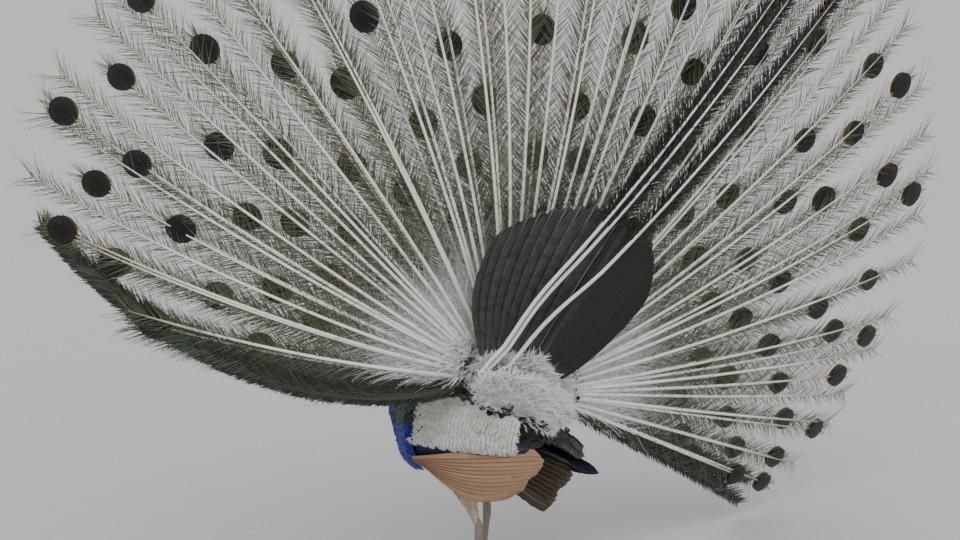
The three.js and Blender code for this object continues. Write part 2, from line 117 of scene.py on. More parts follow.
def runOf(path):  # the distance walked along a path
    return np.concatenate([[0], np.cumsum(np.linalg.norm(np.diff(path[:, :3], axis=0), axis=1))])


def smoothPath(points, count):  # an evenly spaced path through a few points
    p = np.array(points, float)
    p = np.vstack([2 * p[0] - p[1], p, 2 * p[-1] - p[-2]])
    t = np.linspace(0, len(points) - 1 - 1e-9, 400)
    i = t.astype(int)
    f = (t - i)[:, None]
    a, b, c, d = p[i], p[i + 1], p[i + 2], p[i + 3]
    dense = 0.5 * (2 * b + (c - a) * f + (2 * a - 5 * b + 4 * c - d) * f**2 + (3 * b - a - 3 * c + d) * f**3)
    run = runOf(dense)
    at = np.linspace(0, run[-1], count)
    return stacked(*(np.interp(at, run, column) for column in dense.T))


# meshes and pieces
def linked(name, data):
    thing = bpy.data.objects.new(name, data)
    bpy.context.scene.collection.objects.link(thing)
    return thing


def meshOf(name, points, faces, layers=None):
    mesh = bpy.data.meshes.new(name)
    mesh.from_pydata(np.asarray(points, float).tolist(), [], [list(map(int, f)) for f in faces])
    for layer, values in (layers or {}).items():
        corner = np.empty(len(mesh.loops), np.int32)
        mesh.loops.foreach_get("vertex_index", corner)
        mesh.uv_layers.new(name=layer).data.foreach_set("uv", np.asarray(values, np.float32)[corner].ravel())
    mesh.update()
    return mesh


def store(mesh, name, kind, values):  # one value for each point
    field = {"QUATERNION": "value", "INT": "value", "FLOAT_VECTOR": "vector", "FLOAT_COLOR": "color"}[kind]
    values = np.ascontiguousarray(values, np.int32 if kind == "INT" else np.float32).ravel()
    mesh.attributes.new(name, kind, "POINT").data.foreach_set(field, values)


def storeTint(mesh, tint):
    store(mesh, "tint", "FLOAT_COLOR", np.hstack([tint, np.ones((len(tint), 1))]))


def fetch(items, *fields):  # vectors or numbers of a mesh's points or faces
    got = []
    for field, size in fields:
        values = np.empty(len(items) * size)
        items.foreach_get(field, values)
        got.append(values.reshape(-1, size))
    return got


def applied(holder):  # the holder's mesh with its modifiers applied
    graph = bpy.context.evaluated_depsgraph_get()
    mesh = bpy.data.meshes.new_from_object(holder.evaluated_get(graph), depsgraph=graph)
    bpy.data.objects.remove(holder)
    return mesh


def addPiece(name, mesh, finish, replaced=()):
    piece = linked(name, mesh)
    if finish:
        mesh.materials.clear()
        mesh.materials.append(finish)
    mesh.shade_smooth()
    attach(piece, body)
    if replaced:
        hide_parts(*replaced)
    return piece


def addShape(name, points, faces, finish, slot, replaced=(), layers=None):
    return addPiece(name, meshOf(name, points + origin, faces, layers), finish, replaced)


def ringFaces(rings, sides, ends=True):  # a tube of rings, with fans at its ends
    i, j = np.divmod(np.arange((rings - 1) * sides), sides)
    k = (j + 1) % sides
    faces = (stacked(k, j, j + sides, k + sides) + i[:, None] * sides).tolist()
    if ends:
        first, last = rings * sides, (rings - 1) * sides
        for j in range(sides):
            k = (j + 1) % sides
            faces += [[first, j, k], [first + 1, last + k, last + j]]
    return faces


def limb(path, facing, halfWidth, above, below, sides):  # a closed skin through rings, its top towards facing
    way = ahead(path)
    across = unit(np.cross(way, np.broadcast_to(facing, way.shape)))
    up = np.cross(across, way)
    turn = np.linspace(0, 2 * math.pi, sides, endpoint=False)
    rise = np.where(np.sin(turn) > 0, above[:, None], below[:, None]) * np.sin(turn)
    side = halfWidth[:, None] * np.cos(turn)
    rings = path[:, None] + across[:, None] * side[..., None] + up[:, None] * rise[..., None]
    return np.vstack([rings.reshape(-1, 3), path[:1], path[-1:]]), ringFaces(len(path), sides)


def tubes(paths, radii, sides):  # many tapered tubes as one mesh, with strips for the bake
    count, rings = paths.shape[:2]
    way = ahead(paths)
    across = unit(np.cross(way, np.where(np.abs(way[..., 2:]) > 0.9, [1.0, 0, 0], upwards)))
    turn = np.linspace(0, 2 * math.pi, sides, endpoint=False)[:, None]
    ring = across[..., None, :] * np.cos(turn) + np.cross(across, way)[..., None, :] * np.sin(turn)
    points = paths[..., None, :] + ring * radii[..., None, None]
    faces = np.arange(count)[:, None, None] * rings * sides + np.array(ringFaces(rings, sides, ends=False))
    k, down, around = np.meshgrid(np.arange(count), np.linspace(0, 1, rings), np.linspace(0, 1, sides), indexing="ij")
    strip = stacked((k + 0.1 + 0.8 * around) / count, down).reshape(-1, 2)
    return points.reshape(-1, 3), faces.reshape(-1, 4), strip


def addShafts(name, paths, radii, finish, slot, sides=5):
    points, faces, strip = tubes(paths, radii, sides)
    print("  ", name, len(paths), "shafts,", len(faces), "faces")
    addShape(name, points, faces, finish, slot, layers={"vane": strip, "OFBake": strip})


# node trees
class Wire:  # a socket that can be added to, multiplied and so on
    def __init__(self, bench, socket):
        self.bench, self.socket = bench, socket

    def sum(self, operation, *others):
        return self.bench.sum(operation, self, *others)

    def above(self, level, soft):  # 0 below the level and 1 above it, with a soft step
        limits = {"Value": self, "From Min": level - soft, "From Max": level + soft}
        return self.bench.add("ShaderNodeMapRange", {"interpolation_type": "SMOOTHSTEP"}, limits)

    def out(self, name):
        return Wire(self.bench, self.socket.node.outputs[name])


def operator(operation, reflected):
    def worked(wire, other):
        return wire.bench.sum(operation, *((other, wire) if reflected else (wire, other)))

    return worked


for sign, operation in {"add": "ADD", "sub": "SUBTRACT", "mul": "MULTIPLY", "pow": "POWER"}.items():
    setattr(Wire, f"__{sign}__", operator(operation, False))
    setattr(Wire, f"__r{sign}__", operator(operation, True))


class Bench:
    def __init__(self, tree):
        self.tree = tree

    def add(self, kind, settings=None, inputs=None):
        node = self.tree.nodes.new(kind)
        for key, value in (settings or {}).items():
            setattr(node, key, value)
        for key, value in (inputs or {}).items():
            named = (s for s in node.inputs if s.name == key and s.enabled)
            socket = node.inputs[key] if isinstance(key, int) else next(named)
            if isinstance(value, Wire):
                self.tree.links.new(value.socket, socket)
            else:
                socket.default_value = (*value, 1) if socket.type == "RGBA" and len(value) == 3 else value
        return Wire(self, next(s for s in node.outputs if s.enabled))

    def sum(self, operation, *values):
        return self.add("ShaderNodeMath", {"operation": operation}, dict(enumerate(values)))

    def colour(self, factor, first, second):
        return self.add("ShaderNodeMix", {"data_type": "RGBA"}, {"Factor": factor, "A": first, "B": second})

    def place(self):
        return self.add("ShaderNodeTexCoord").out("Object")

    def offsets(self, y, z):  # how far ahead of and above a point of the bird
        split = self.add("ShaderNodeSeparateXYZ", {}, {0: self.place()})
        return split.out("Y") - float(y + origin[1]), split.out("Z") - float(z + origin[2])

    def noise(self, scale, detail=2.0, stretch=None):
        where = self.place()
        if stretch:
            where = self.add("ShaderNodeMapping", {}, {"Vector": where, "Scale": stretch})
        return self.add("ShaderNodeTexNoise", {}, {"Vector": where, "Scale": scale, "Detail": detail})

    def vane(self):  # across is 0 at the shaft and 1 at the vane's edge, along is 0 at its root
        split = self.add("ShaderNodeSeparateXYZ", {}, {0: self.add("ShaderNodeUVMap", {"uv_map": "vane"})})
        side, along = split.out("X"), split.out("Y")
        return (side - 0.5).sum("ABSOLUTE") * 2, along, side

    def barbLines(self, count, slope=0.5):  # the fine lines of the barbs, from 0 to 1
        across, along, _ = self.vane()
        return ((along - across * slope) * (count * 2 * math.pi)).sum("SINE") * 0.5 + 0.5

    def tint(self):
        return self.add("ShaderNodeAttribute", {"attribute_name": "tint"}).out("Color")

    def relief(self, height, strength, distance):
        return self.add("ShaderNodeBump", {}, {"Height": height, "Strength": strength, "Distance": distance})


def newFinish(name, paint, **fixed):  # paint gives the sockets that vary, fixed the constant ones
    finish = bpy.data.materials.new(name)
    finish.use_nodes = True
    shader = finish.node_tree.nodes["Principled BSDF"]
    for socket, value in paint(Bench(finish.node_tree)).items():
        finish.node_tree.links.new(value.socket, shader.inputs[socket])
    for socket, value in fixed.items():
        shader.inputs[socket.replace("_", " ")].default_value = value
    return finish


def grained(name, scale, light, dark, rough, relief=None, detail=2.0, spread=0.2, **fixed):
    def paint(bench):
        grain = bench.noise(scale, detail)
        sockets = {"Base Color": bench.colour(grain, light, dark), "Roughness": grain * spread + rough}
        return {**sockets, "Normal": bench.relief(grain, *relief)} if relief else sockets

    return newFinish(name, paint, **fixed)


# scattering vanes: each point becomes one vane, turned, stretched and given its bake patch
def makeScatterTree():
    tree = bpy.data.node_groups.new("scatter vanes", "GeometryNodeTree")
    for name, kind in (("Geometry", "Geometry"), ("Vanes", "Collection"), ("Finish", "Material"), ("Size", "Float")):
        tree.interface.new_socket(name, in_out="INPUT", socket_type="NodeSocket" + kind)
    tree.interface.new_socket("Geometry", in_out="OUTPUT", socket_type="NodeSocketGeometry")
    bench = Bench(tree)
    given = bench.add("NodeGroupInput")

    def named(name, kind="FLOAT_VECTOR"):
        return bench.add("GeometryNodeInputNamedAttribute", {"data_type": kind}, {"Name": name})

    vanes = bench.add("GeometryNodeCollectionInfo", {"transform_space": "ORIGINAL"}, {
        "Collection": given.out("Vanes"), "Separate Children": True, "Reset Children": True,
    })
    stretch = bench.add("ShaderNodeVectorMath", {"operation": "SCALE"}, {
        "Vector": named("stretch"), "Scale": given.out("Size"),
    })
    placed = bench.add("GeometryNodeInstanceOnPoints", {}, {
        "Points": given.out("Geometry"), "Instance": vanes, "Pick Instance": True,
        "Instance Index": named("kind", "INT"), "Rotation": named("turn", "QUATERNION"), "Scale": stretch,
    })
    solid = bench.add("GeometryNodeRealizeInstances", {}, {"Geometry": placed})
    patch = bench.add("ShaderNodeVectorMath", {"operation": "MULTIPLY_ADD"}, {
        0: named("vane"), 1: named("patchSize"), 2: named("patch"),
    })
    baked = bench.add("GeometryNodeStoreNamedAttribute", {"data_type": "FLOAT2", "domain": "CORNER"}, {
        "Geometry": solid, "Name": "OFBake", "Value": patch,
    })
    done = bench.add("GeometryNodeSetMaterial", {}, {"Geometry": baked, "Material": given.out("Finish")})
    tree.links.new(done.socket, tree.nodes.new("NodeGroupOutput").inputs[0])
    return tree


scatterTree = makeScatterTree()


def scatter(name, vanes, finish, roots, replaced=()):
    mesh = bpy.data.meshes.new(name)
    mesh.vertices.add(len(roots["at"]))
    mesh.vertices.foreach_set("co", (roots["at"] + origin).astype(np.float32).ravel())
    storeTint(mesh, roots["tint"])
    store(mesh, "turn", "QUATERNION", turned(roots["aim"], roots["face"]))
    store(mesh, "kind", "INT", roots["kind"])
    for layer in ("stretch", "patch", "patchSize"):
        store(mesh, layer, "FLOAT_VECTOR", roots[layer])
    holder = linked(name + " roots", mesh)
    modifier = holder.modifiers.new("scatter", "NODES")
    modifier.node_group = scatterTree
    given = {"Vanes": vanes, "Finish": finish, "Size": 1.0}
    for item in scatterTree.interface.items_tree:
        if item.name in given:
            modifier[item.identifier] = given[item.name]
    whole = applied(holder)
    bpy.data.meshes.remove(mesh)
    whole.name = name
    for layer in ("turn", "stretch", "kind", "patch", "patchSize"):
        if layer in whole.attributes:
            whole.attributes.remove(whole.attributes[layer])
    addPiece(name, whole, None, replaced)
    print("  ", name, len(roots["at"]), "vanes,", len(whole.polygons), "faces")


def roots(at, aim, face, width, length, tint, patch, kind, lift=None, patchSize=0.003):
    return {
        "at": at, "aim": aim, "face": face, "kind": kind, "tint": np.broadcast_to(tint, (len(at), 3)),
        "stretch": stacked(width, length, length if lift is None else lift) * np.ones((len(at), 1)),
        "patch": stacked(*patch, np.zeros(len(at))), "patchSize": np.broadcast_to(patchSize, (len(at), 3)),
    }


def together(*sets):
    return {key: np.concatenate([s[key] for s in sets]) for key in sets[0]}


def chosen(rootSet, keep):
    return {key: values[keep] for key, values in rootSet.items()}


def laid(out, way, lift, ruffle, draw):  # a direction that lies along the skin, lifted and ruffled a little
    flat = unit(way - out * np.sum(way * out, axis=1)[:, None])
    return unit(flat + out * lift + draw.normal(0, ruffle, out.shape))


# source vanes, in units of their own length and width
def collect(name, meshes):  # they wait in a collection of their own
    holder = bpy.data.collections.new(name)
    for i, mesh in enumerate(meshes):
        holder.objects.link(bpy.data.objects.new(f"{name} {i:02d}", mesh))
    return holder


def vaneMesh(name, columns, rows, outline, arch=0.0, droop=0.0, sweep=0.0, ragged=0.0, seed=1):
    draw = np.random.default_rng(seed)
    points, flat = [], []
    torn = draw.uniform(-ragged, 0, columns + 1)
    for s in np.linspace(0, 1, rows + 1):
        for c, tear in zip(np.linspace(-1, 1, columns + 1), torn):
            y = s * (1 + tear * s**3) + sweep * abs(c) * s * (1 - s) - 0.12 * c * c * s**4
            points.append((0.5 * c * outline(s), y, -arch * c * c * outline(s) - droop * s * s))
            flat.append(((c + 1) / 2, s))
    corners = np.arange((columns + 1) * rows).reshape(rows, -1)[:, :-1].ravel()
    faces = stacked(corners, corners + 1, corners + columns + 2, corners + columns + 1)
    return meshOf(name, points, faces, {"vane": flat})


def ribbon(first):  # three faces between pairs of points
    return [[first + i, first + i + 1, first + i + 3, first + i + 2] for i in (0, 2, 4)]


def barbVane(rise, bow):  # a thin curved ribbon
    points, flat = [], []
    for s in np.linspace(0, 1, 4):
        for side in (-1, 1):
            x = 0.5 * (1 - 0.75 * s) * side + bow * math.sin(math.pi * s * 0.5) ** 2
            points.append((x, s, 0.05 * rise * s * s))
            flat.append(((side + 1) / 2, s))
    return meshOf("barb", points, ribbon(0), {"vane": flat})


def eyeVane(dish, sides=18, rings=3):  # a slightly dished oval, seen from its front
    points, faces = [(0, 0.5, 0)], []
    for reach in np.arange(1, rings + 1) / rings:
        for turn in 2 * math.pi * np.arange(sides) / sides:
            points.append((0.5 * reach * math.cos(turn), 0.5 + 0.5 * reach * math.sin(turn), dish * reach * reach))
    for j in range(sides):
        k = (j + 1) % sides
        faces.append([0, 1 + j, 1 + k])
        for a in range(1, (rings - 1) * sides, sides):
            faces.append([a + j, a + sides + j, a + sides + k, a + k])
    return meshOf("eye spot", points, faces, {"vane": [(x + 0.5, y) for x, y, _ in points]})


def tuftVane(seed, strands=13):  # a tuft of soft strands from one root
    draw = np.random.default_rng(seed)
    points, flat, faces = [], [], []
    for _ in range(strands):
        lean, turn, reach = draw.uniform(0.0, 0.65), draw.uniform(0, 2 * math.pi), draw.uniform(0.7, 1.0)
        out = unit(np.array([math.cos(turn) * lean, 1.0, math.sin(turn) * lean]))
        side = unit(np.cross(out, np.array([draw.normal(), 0.2, draw.normal()])))
        bend = np.array([draw.normal() * 0.2, -0.1, draw.normal() * 0.2])
        faces += ribbon(len(points))
        for s, half in ((0, 0.022), (0.4, 0.030), (0.75, 0.018), (1.0, 0.003)):
            middle = out * s * reach + bend * s * s
            points += [middle - side * half, middle + side * half]
            flat += [(0.3, s), (0.7, s)]
    return meshOf("tuft", points, faces, {"vane": flat})


def rounded(s):
    return np.sqrt(max(0.0, 1 - (2 * s - 1) ** 2)) ** 0.7 * 0.9 + 0.1 * (s < 0.99)


def fanned(s):
    return 0.12 + 0.88 * smooth(0.0, 0.7, s) * (1 - 0.25 * smooth(0.85, 1, s))


contourVanes = collect("contour", [
    vaneMesh("contour", 6, 5, rounded, arch=0.10, droop=0.10, sweep=0.10, ragged=0.12, seed=i) for i in range(4)
])
smallVanes = collect("small", [
    vaneMesh("small", 4, 3, rounded, arch=0.10, droop=0.10, ragged=0.15, seed=i) for i in range(4)
])
barbVanes = collect("barb", [barbVane(k, b) for k, b in ((-1, 0.05), (0, 0.16), (1, 0.1), (0.5, 0.22))])
eyeVanes = collect("eye", [eyeVane(0.04), eyeVane(-0.02)])
tuftVanes = collect("tuft", [tuftVane(i) for i in range(5)])
crestVanes = collect("crest", [vaneMesh("plume", 6, 5, fanned, ragged=0.1, seed=i) for i in range(3)])


# finishes
def plumage(name, barbs, shine, contrast, metal=0.0, shaft=0.0, rim=0.0, rimColour=(0.01, 0.012, 0.01), bars=None):
    def paint(bench):
        across, along, _ = bench.vane()
        lines = bench.barbLines(barbs)
        base = bench.colour(bench.noise(60.0, 3.0) * contrast, bench.tint(), black)
        if bars:
            phase = (along * bars["count"] + bench.noise(bars["noise"]) * bars["wander"]) * (2 * math.pi)
            mask = phase.sum("SINE").above(bars["level"], 0.25)
            base = bench.colour(mask * bars["strength"], base, bars["colour"])
        if rim:
            edge = (across * across + (along * along) * (along * along)).above(1.05 - rim, rim * 0.6)
            base = bench.colour(edge, base, rimColour)
        base = bench.colour(lines * contrast, base, black)
        if shaft:
            base = bench.colour((1 - across.above(0.07, 0.05)) * shaft, base, (0.55, 0.5, 0.42))
        return {"Base Color": base, "Roughness": lines * 0.2 + shine, "Normal": bench.relief(lines, 0.35, 0.0006)}

    return newFinish(name, paint, Metallic=metal)


trainColours = {
    "bronze": (0.16, 0.11, 0.045), "green": (0.05, 0.16, 0.055), "pupil": (0.008, 0.008, 0.07),
    "turquoise": (0.0, 0.22, 0.30), "copper": (0.30, 0.125, 0.03), "gold": (0.42, 0.36, 0.06),
    "backDark": (0.004, 0.004, 0.005), "backRing": (0.012, 0.011, 0.010),
    "quill": (0.86, 0.84, 0.80), "quillTip": (0.34, 0.28, 0.19), "quillGrain": (0.62, 0.57, 0.50),
}


def paintBarbs(bench):  # tint is the barb's own colour; its fine barbules break it up
    cloud = bench.noise(140.0, 3.0)
    base = bench.colour(cloud * 0.5, bench.tint(), black)
    base = bench.colour(cloud.above(0.62, 0.06) * 0.45, base, trainColours["bronze"])
    return {"Base Color": base, "Roughness": cloud * 0.3 + 0.35}


def paintEyes(bench):  # rings of colour round a notched pupil; tint red is 1 on the back of the spot
    _, along, side = bench.vane()
    x, y = (side - 0.5) * 2, (along - 0.46) * 2
    wide = (x * x + y * y).sum("SQRT") + (bench.noise(260.0) - 0.5) * 0.10
    heart = ((x * x) * 1.5 + (y + 0.14) * (y + 0.14)).sum("SQRT") - 0.10 * (1 - x.sum("ABSOLUTE") * 3).sum("MAXIMUM", 0)
    front = trainColours["green"]
    rings = ((wide, 0.86, 0.04, "gold"), (wide, 0.77, 0.03, "copper"), (wide, 0.50, 0.03, "turquoise"))
    for mask, level, soft, name in (*rings, (heart, 0.30, 0.03, "pupil")):
        front = bench.colour(mask.above(level, soft), trainColours[name], front)
    back = bench.colour(wide.above(0.62, 0.08), trainColours["backDark"], trainColours["backRing"])
    behind = bench.add("ShaderNodeSeparateColor", {}, {0: bench.tint()})
    lines = bench.barbLines(30, 0.8)
    return {
        "Base Color": bench.colour(lines * 0.3, bench.colour(behind, front, back), black),
        "Roughness": lines * 0.2 + 0.28, "Metallic": (1 - behind) * 0.35, "Normal": bench.relief(lines, 0.3, 0.0005),
    }


def paintShafts(bench):  # ivory quills that darken and yellow towards the tip
    grain = bench.noise(400.0)
    base = bench.colour(bench.vane()[1].above(0.78, 0.2), trainColours["quill"], trainColours["quillTip"])
    return {"Base Color": bench.colour(grain * 0.25, base, trainColours["quillGrain"]), "Roughness": grain * 0.2 + 0.3}


print("finishes")
coverBars = {
    "noise": 30.0, "count": 4.0, "wander": 1.6, "level": 0.62, "strength": 0.55, "colour": (0.10, 0.092, 0.088),
}
tailBars = {
    "noise": 14.0, "count": 9.0, "wander": 5.0, "level": 0.6, "strength": 0.4, "colour": (0.012, 0.011, 0.011),
}
finishes = {
    "barbs": newFinish("train barbs", paintBarbs, Metallic=0.1),
    "eyes": newFinish("train eyes", paintEyes, Specular_IOR_Level=0.25),
    "shafts": newFinish("quill shafts", paintShafts, Coat_Weight=0.15),
    "rustShaft": grained("rust shafts", 300.0, (0.24, 0.10, 0.04), (0.14, 0.06, 0.03), 0.3),
    "darkShaft": grained("sword shafts", 300.0, (0.05, 0.06, 0.035), (0.02, 0.03, 0.02), 0.3),
    "tailShaft": grained("tail shafts", 300.0, (0.20, 0.17, 0.15), (0.10, 0.085, 0.08), 0.3),
    "blue": plumage("blue neck plumage", 16, 0.30, 0.45, metal=0.55, rim=0.25, rimColour=(0.0, 0.05, 0.16)),
    "scales": plumage("bronze scale plumage", 18, 0.3, 0.35, metal=0.5, rim=0.30),
    "belly": plumage("dark belly plumage", 18, 0.45, 0.4, metal=0.2),
    "barred": plumage("barred coverts", 30, 0.55, 0.2, bars=coverBars),
    "darkFlight": plumage("dark blue flights", 60, 0.35, 0.35, metal=0.3, shaft=0.2),
    "chestnut": plumage("chestnut flights", 70, 0.5, 0.3, shaft=0.3),
    "tailQuill": plumage("brown tail quills", 70, 0.55, 0.35, shaft=0.55, bars=tailBars),
    "down": plumage("pale down", 5, 0.8, 0.03),
    "thigh": plumage("buff thigh plumage", 12, 0.7, 0.25),
}

# the skin, taken from the solids of flesh and drawn in by the depth of the coat
skinSizes = {
    "voxel": 0.0032, "coatDepth": 0.0045, "faceDepth": 0.0012, "smoothing": 8, "bare": (0.78, 0.77, 0.74),
    "upperBare": (-0.001, 0.0085, 0.016, 0.0032), "lowerBare": (0.001, -0.0115, 0.014, 0.0050),
}
fleshNodes = [
    "trunk", "neck_lower", "neck_upper", "head", "thigh_left", "thigh_right", "train_root", "under_tail",
]


def makeSkin():
    points, faces = [], []
    for node in fleshNodes:
        mesh = bpy.data.objects[node].data
        faces += [[len(points) + i for i in p.vertices] for p in mesh.polygons]
        points += [v.co[:] for v in mesh.vertices]
    holder = linked("skin form", meshOf("skin form", points, faces))
    remesh = holder.modifiers.new("remesh", "REMESH")
    remesh.mode, remesh.voxel_size = "VOXEL", skinSizes["voxel"]
    even = holder.modifiers.new("even", "SMOOTH")
    even.factor, even.iterations = 0.5, skinSizes["smoothing"]
    mesh = applied(holder)
    mesh.name = "skin"
    at, out = fetch(mesh.vertices, ("co", 3), ("normal", 3))
    depth = mix(skinSizes["coatDepth"], skinSizes["faceDepth"], smooth(0.64, 0.71, at[:, 2] - origin[2]))
    mesh.vertices.foreach_set("co", (at - out * depth[:, None]).ravel())
    mesh.update()
    return mesh


def bareOvals(y, z, wobble, grow=0.0):  # above and below the eye
    (upY, upZ, upLong, upHigh), (lowY, lowZ, lowLong, lowHigh) = skinSizes["upperBare"], skinSizes["lowerBare"]
    upper = oval(y - upY, z - upZ + wobble + y * 0.15, upLong, upHigh + grow)
    return upper, oval(y - lowY, z - lowZ + wobble, lowLong, lowHigh + grow)


def paintSkin(bench):  # tint holds the coat's own markings; bare white skin above and below the eye
    wobble = (bench.noise(300.0) - 0.5) * 0.003
    upper, lower = bareOvals(*bench.offsets(*rightEye[1:]), wobble)
    pores = bench.noise(900.0)
    base = bench.colour(1 - upper.sum("MINIMUM", lower).above(1.0, 0.25), bench.tint(), skinSizes["bare"])
    base = bench.colour(pores * 0.25, base, (0.1, 0.1, 0.12))
    return {"Base Color": base, "Roughness": pores * 0.25 + 0.45, "Normal": bench.relief(pores, 0.3, 0.0005)}


print("skin")
skinMesh = makeSkin()
skinTree = BVHTree.FromPolygons([v.co[:] for v in skinMesh.vertices], [p.vertices[:] for p in skinMesh.polygons])
addPiece("skin", skinMesh, newFinish("skin", paintSkin), fleshNodes)
print("  ", len(skinMesh.polygons), "faces")


def cast(starts, ways, reach):  # where rays meet the skin, and which of them did
    at, out, hit = np.zeros((len(starts), 3)), np.zeros((len(starts), 3)), np.zeros(len(starts), bool)
    for i, (start, way) in enumerate(zip(starts + origin, ways)):
        place, normal, _, _ = skinTree.ray_cast(start, way, reach)
        if place is not None:
            at[i], out[i], hit[i] = place, normal, True
    facing = np.sum(out * ways, axis=1)[:, None]
    return at - origin, out * (np.sign(facing) + (facing == 0)), hit


# the train's fan: every quill starts near one point of the rump and runs out at its own angle
fanSizes = {
    "apex": (0.0, -0.114, 0.472), "yaw": 20, "lean": 10, "roll": 26, "from": -129, "to": 95,
    "middle": 1.290, "left": 1.090, "right": 0.850, "rootWidth": 0.055, "rootCup": -4, "tipCup": 12,
    "leftCup": 38, "rightCup": 10, "swirl": 3, "leftSwirl": 65, "rightSwirl": 4, "straightFrom": -105,
}


def fanAxes():
    yaw, lean, roll = (math.radians(fanSizes[k]) for k in ("yaw", "lean", "roll"))
    level = np.array([math.sin(yaw), math.cos(yaw), 0])
    across = np.array([math.cos(yaw), -math.sin(yaw), 0])
    up = upwards * math.cos(lean) - level * math.sin(lean)
    return (
        level * math.cos(lean) + upwards * math.sin(lean),
        up * math.cos(roll) + across * math.sin(roll), across * math.cos(roll) - up * math.sin(roll),
    )


apex = np.array(fanSizes["apex"])
fanAhead, fanMiddle, fanRight = fanAxes()


def fanLength(angle):
    edge = np.where(angle < 0, fanSizes["left"], fanSizes["right"])
    return mix(edge, fanSizes["middle"], np.cos(np.radians(np.clip(angle, -95, 95) * 0.94)) ** 0.8)


def fanPaths(angles, reaches, count):  # evenly spaced points along each quill
    side = np.where(angles < 0, fanSizes["leftCup"], fanSizes["rightCup"])
    tipCup = fanSizes["tipCup"] + side * np.sin(np.radians(np.clip(angles, -90, 90))) ** 2
    swirl = fanSizes["swirl"] + fanSizes["leftSwirl"] * smooth(fanSizes["straightFrom"], fanSizes["from"], angles)
    swirl = swirl + fanSizes["rightSwirl"] * bump(angles, 75, 30)
    share = (np.arange(count - 1) + 0.5) / (count - 1) * (reaches / fanLength(angles))[:, None]
    cup = np.radians(mix(fanSizes["rootCup"], tipCup[:, None], share))[..., None]
    turn = np.radians(angles[:, None] + swirl[:, None] * share)[..., None]
    ways = np.cos(cup) * np.cos(turn) * fanMiddle + np.cos(cup) * np.sin(turn) * fanRight + np.sin(cup) * fanAhead
    start = (apex + fanRight * (fanSizes["rootWidth"] * np.clip(angles / 60, -1, 1))[:, None])[:, None]
    return np.concatenate([start, start + np.cumsum(ways * (reaches / (count - 1))[:, None, None], axis=1)], axis=1)


def behindFan(at, out):  # the back of the fan's root and the rump
    local = at - apex
    right, up = local @ fanRight, local @ fanMiddle
    low = mix(-0.042, -0.052, smooth(-0.05, 0.0, right))
    level = (up < 0.115) & (up > low) & (np.abs(right + 0.012) < 0.15)
    return level & (local @ fanAhead < -0.012) & (out @ fanAhead < 0.55)


# feathered ribbons: train feathers with barbs, eye spots, fishtails, swords and strays
trainSizes = {
    "ranks": (0.31, 0.41, 0.50, 0.60, 0.70, 0.79, 0.88, 0.955), "spacing": 14.5, "fishtails": 34, "swords": 13,
    "barbGap": 0.0042, "eyeBarbGap": 0.0028, "downGap": 0.0060, "swordGap": 0.0036, "barbLength": 0.066,
    "barbWidth": 0.0016, "eyeWidth": 0.055, "eyeLength": 0.063, "eyeThick": 0.0044, "frontLayer": 0.026,
    "shaftRadius": 0.0046, "shaftMiddle": 0.74, "shaftTip": 0.42, "shaftEnd": 0.25, "swordShaft": 0.5,
    "downFrom": 0.18, "downTo": 0.41, "panels": 13, "panelsEach": 2,
    "strays": ((-0.100, 0.235, -0.042), (-0.094, 0.262, -0.034), (-0.056, 0.325, -0.018)),
    "strayRise": 0.43, "strayBehind": 0.022, "straySlide": (0.70, -0.144),
    "down": (0.86, 0.85, 0.83), "olive": (0.115, 0.175, 0.125), "brown": (0.17, 0.14, 0.085),
    "swordGreen": (0.010, 0.026, 0.018), "flankGreen": (0.035, 0.070, 0.055),
    "eyeGreen": (0.04, 0.11, 0.04), "eyeBronze": (0.16, 0.11, 0.035),
    "frontGreen": (0.045, 0.150, 0.055), "frontBronze": (0.200, 0.130, 0.035),
}
barbSizes = {  # slants are in degrees from the quill, runs and layers in metres, the rest in shares
    "rootSlant": 46, "tipSlant": 34, "downSlant": 16, "eyeSlant": 15, "swordSlant": 44, "swordClose": 8,
    "ruffle": 8, "downRuffle": 5, "swordRuffle": 4, "eyeRuffle": 2.5, "tilt": 0.03, "tiltRuffle": 0.10,
    "downWidth": 1.7, "swordWidth": 2.2, "swordOutside": 0.60, "swordInside": 0.36, "strayLength": 0.62,
    "strayCrowding": 0.28, "fishtailLengths": (0.9, 0.75), "fishtailEnd": 0.45, "eyeLengths": (0.060, 0.040),
    "eyeRun": 0.075, "eyeEnd": 0.004, "eyeBack": 0.034, "firstBarb": 0.05, "lastDown": 0.24, "forward": 0.0026,
    "downForward": 0.002, "layer": 0.0008, "turnRuffle": 0.3,
}
eyed, fishtail, sword, stray, flank = range(5)  # the kinds of train feather


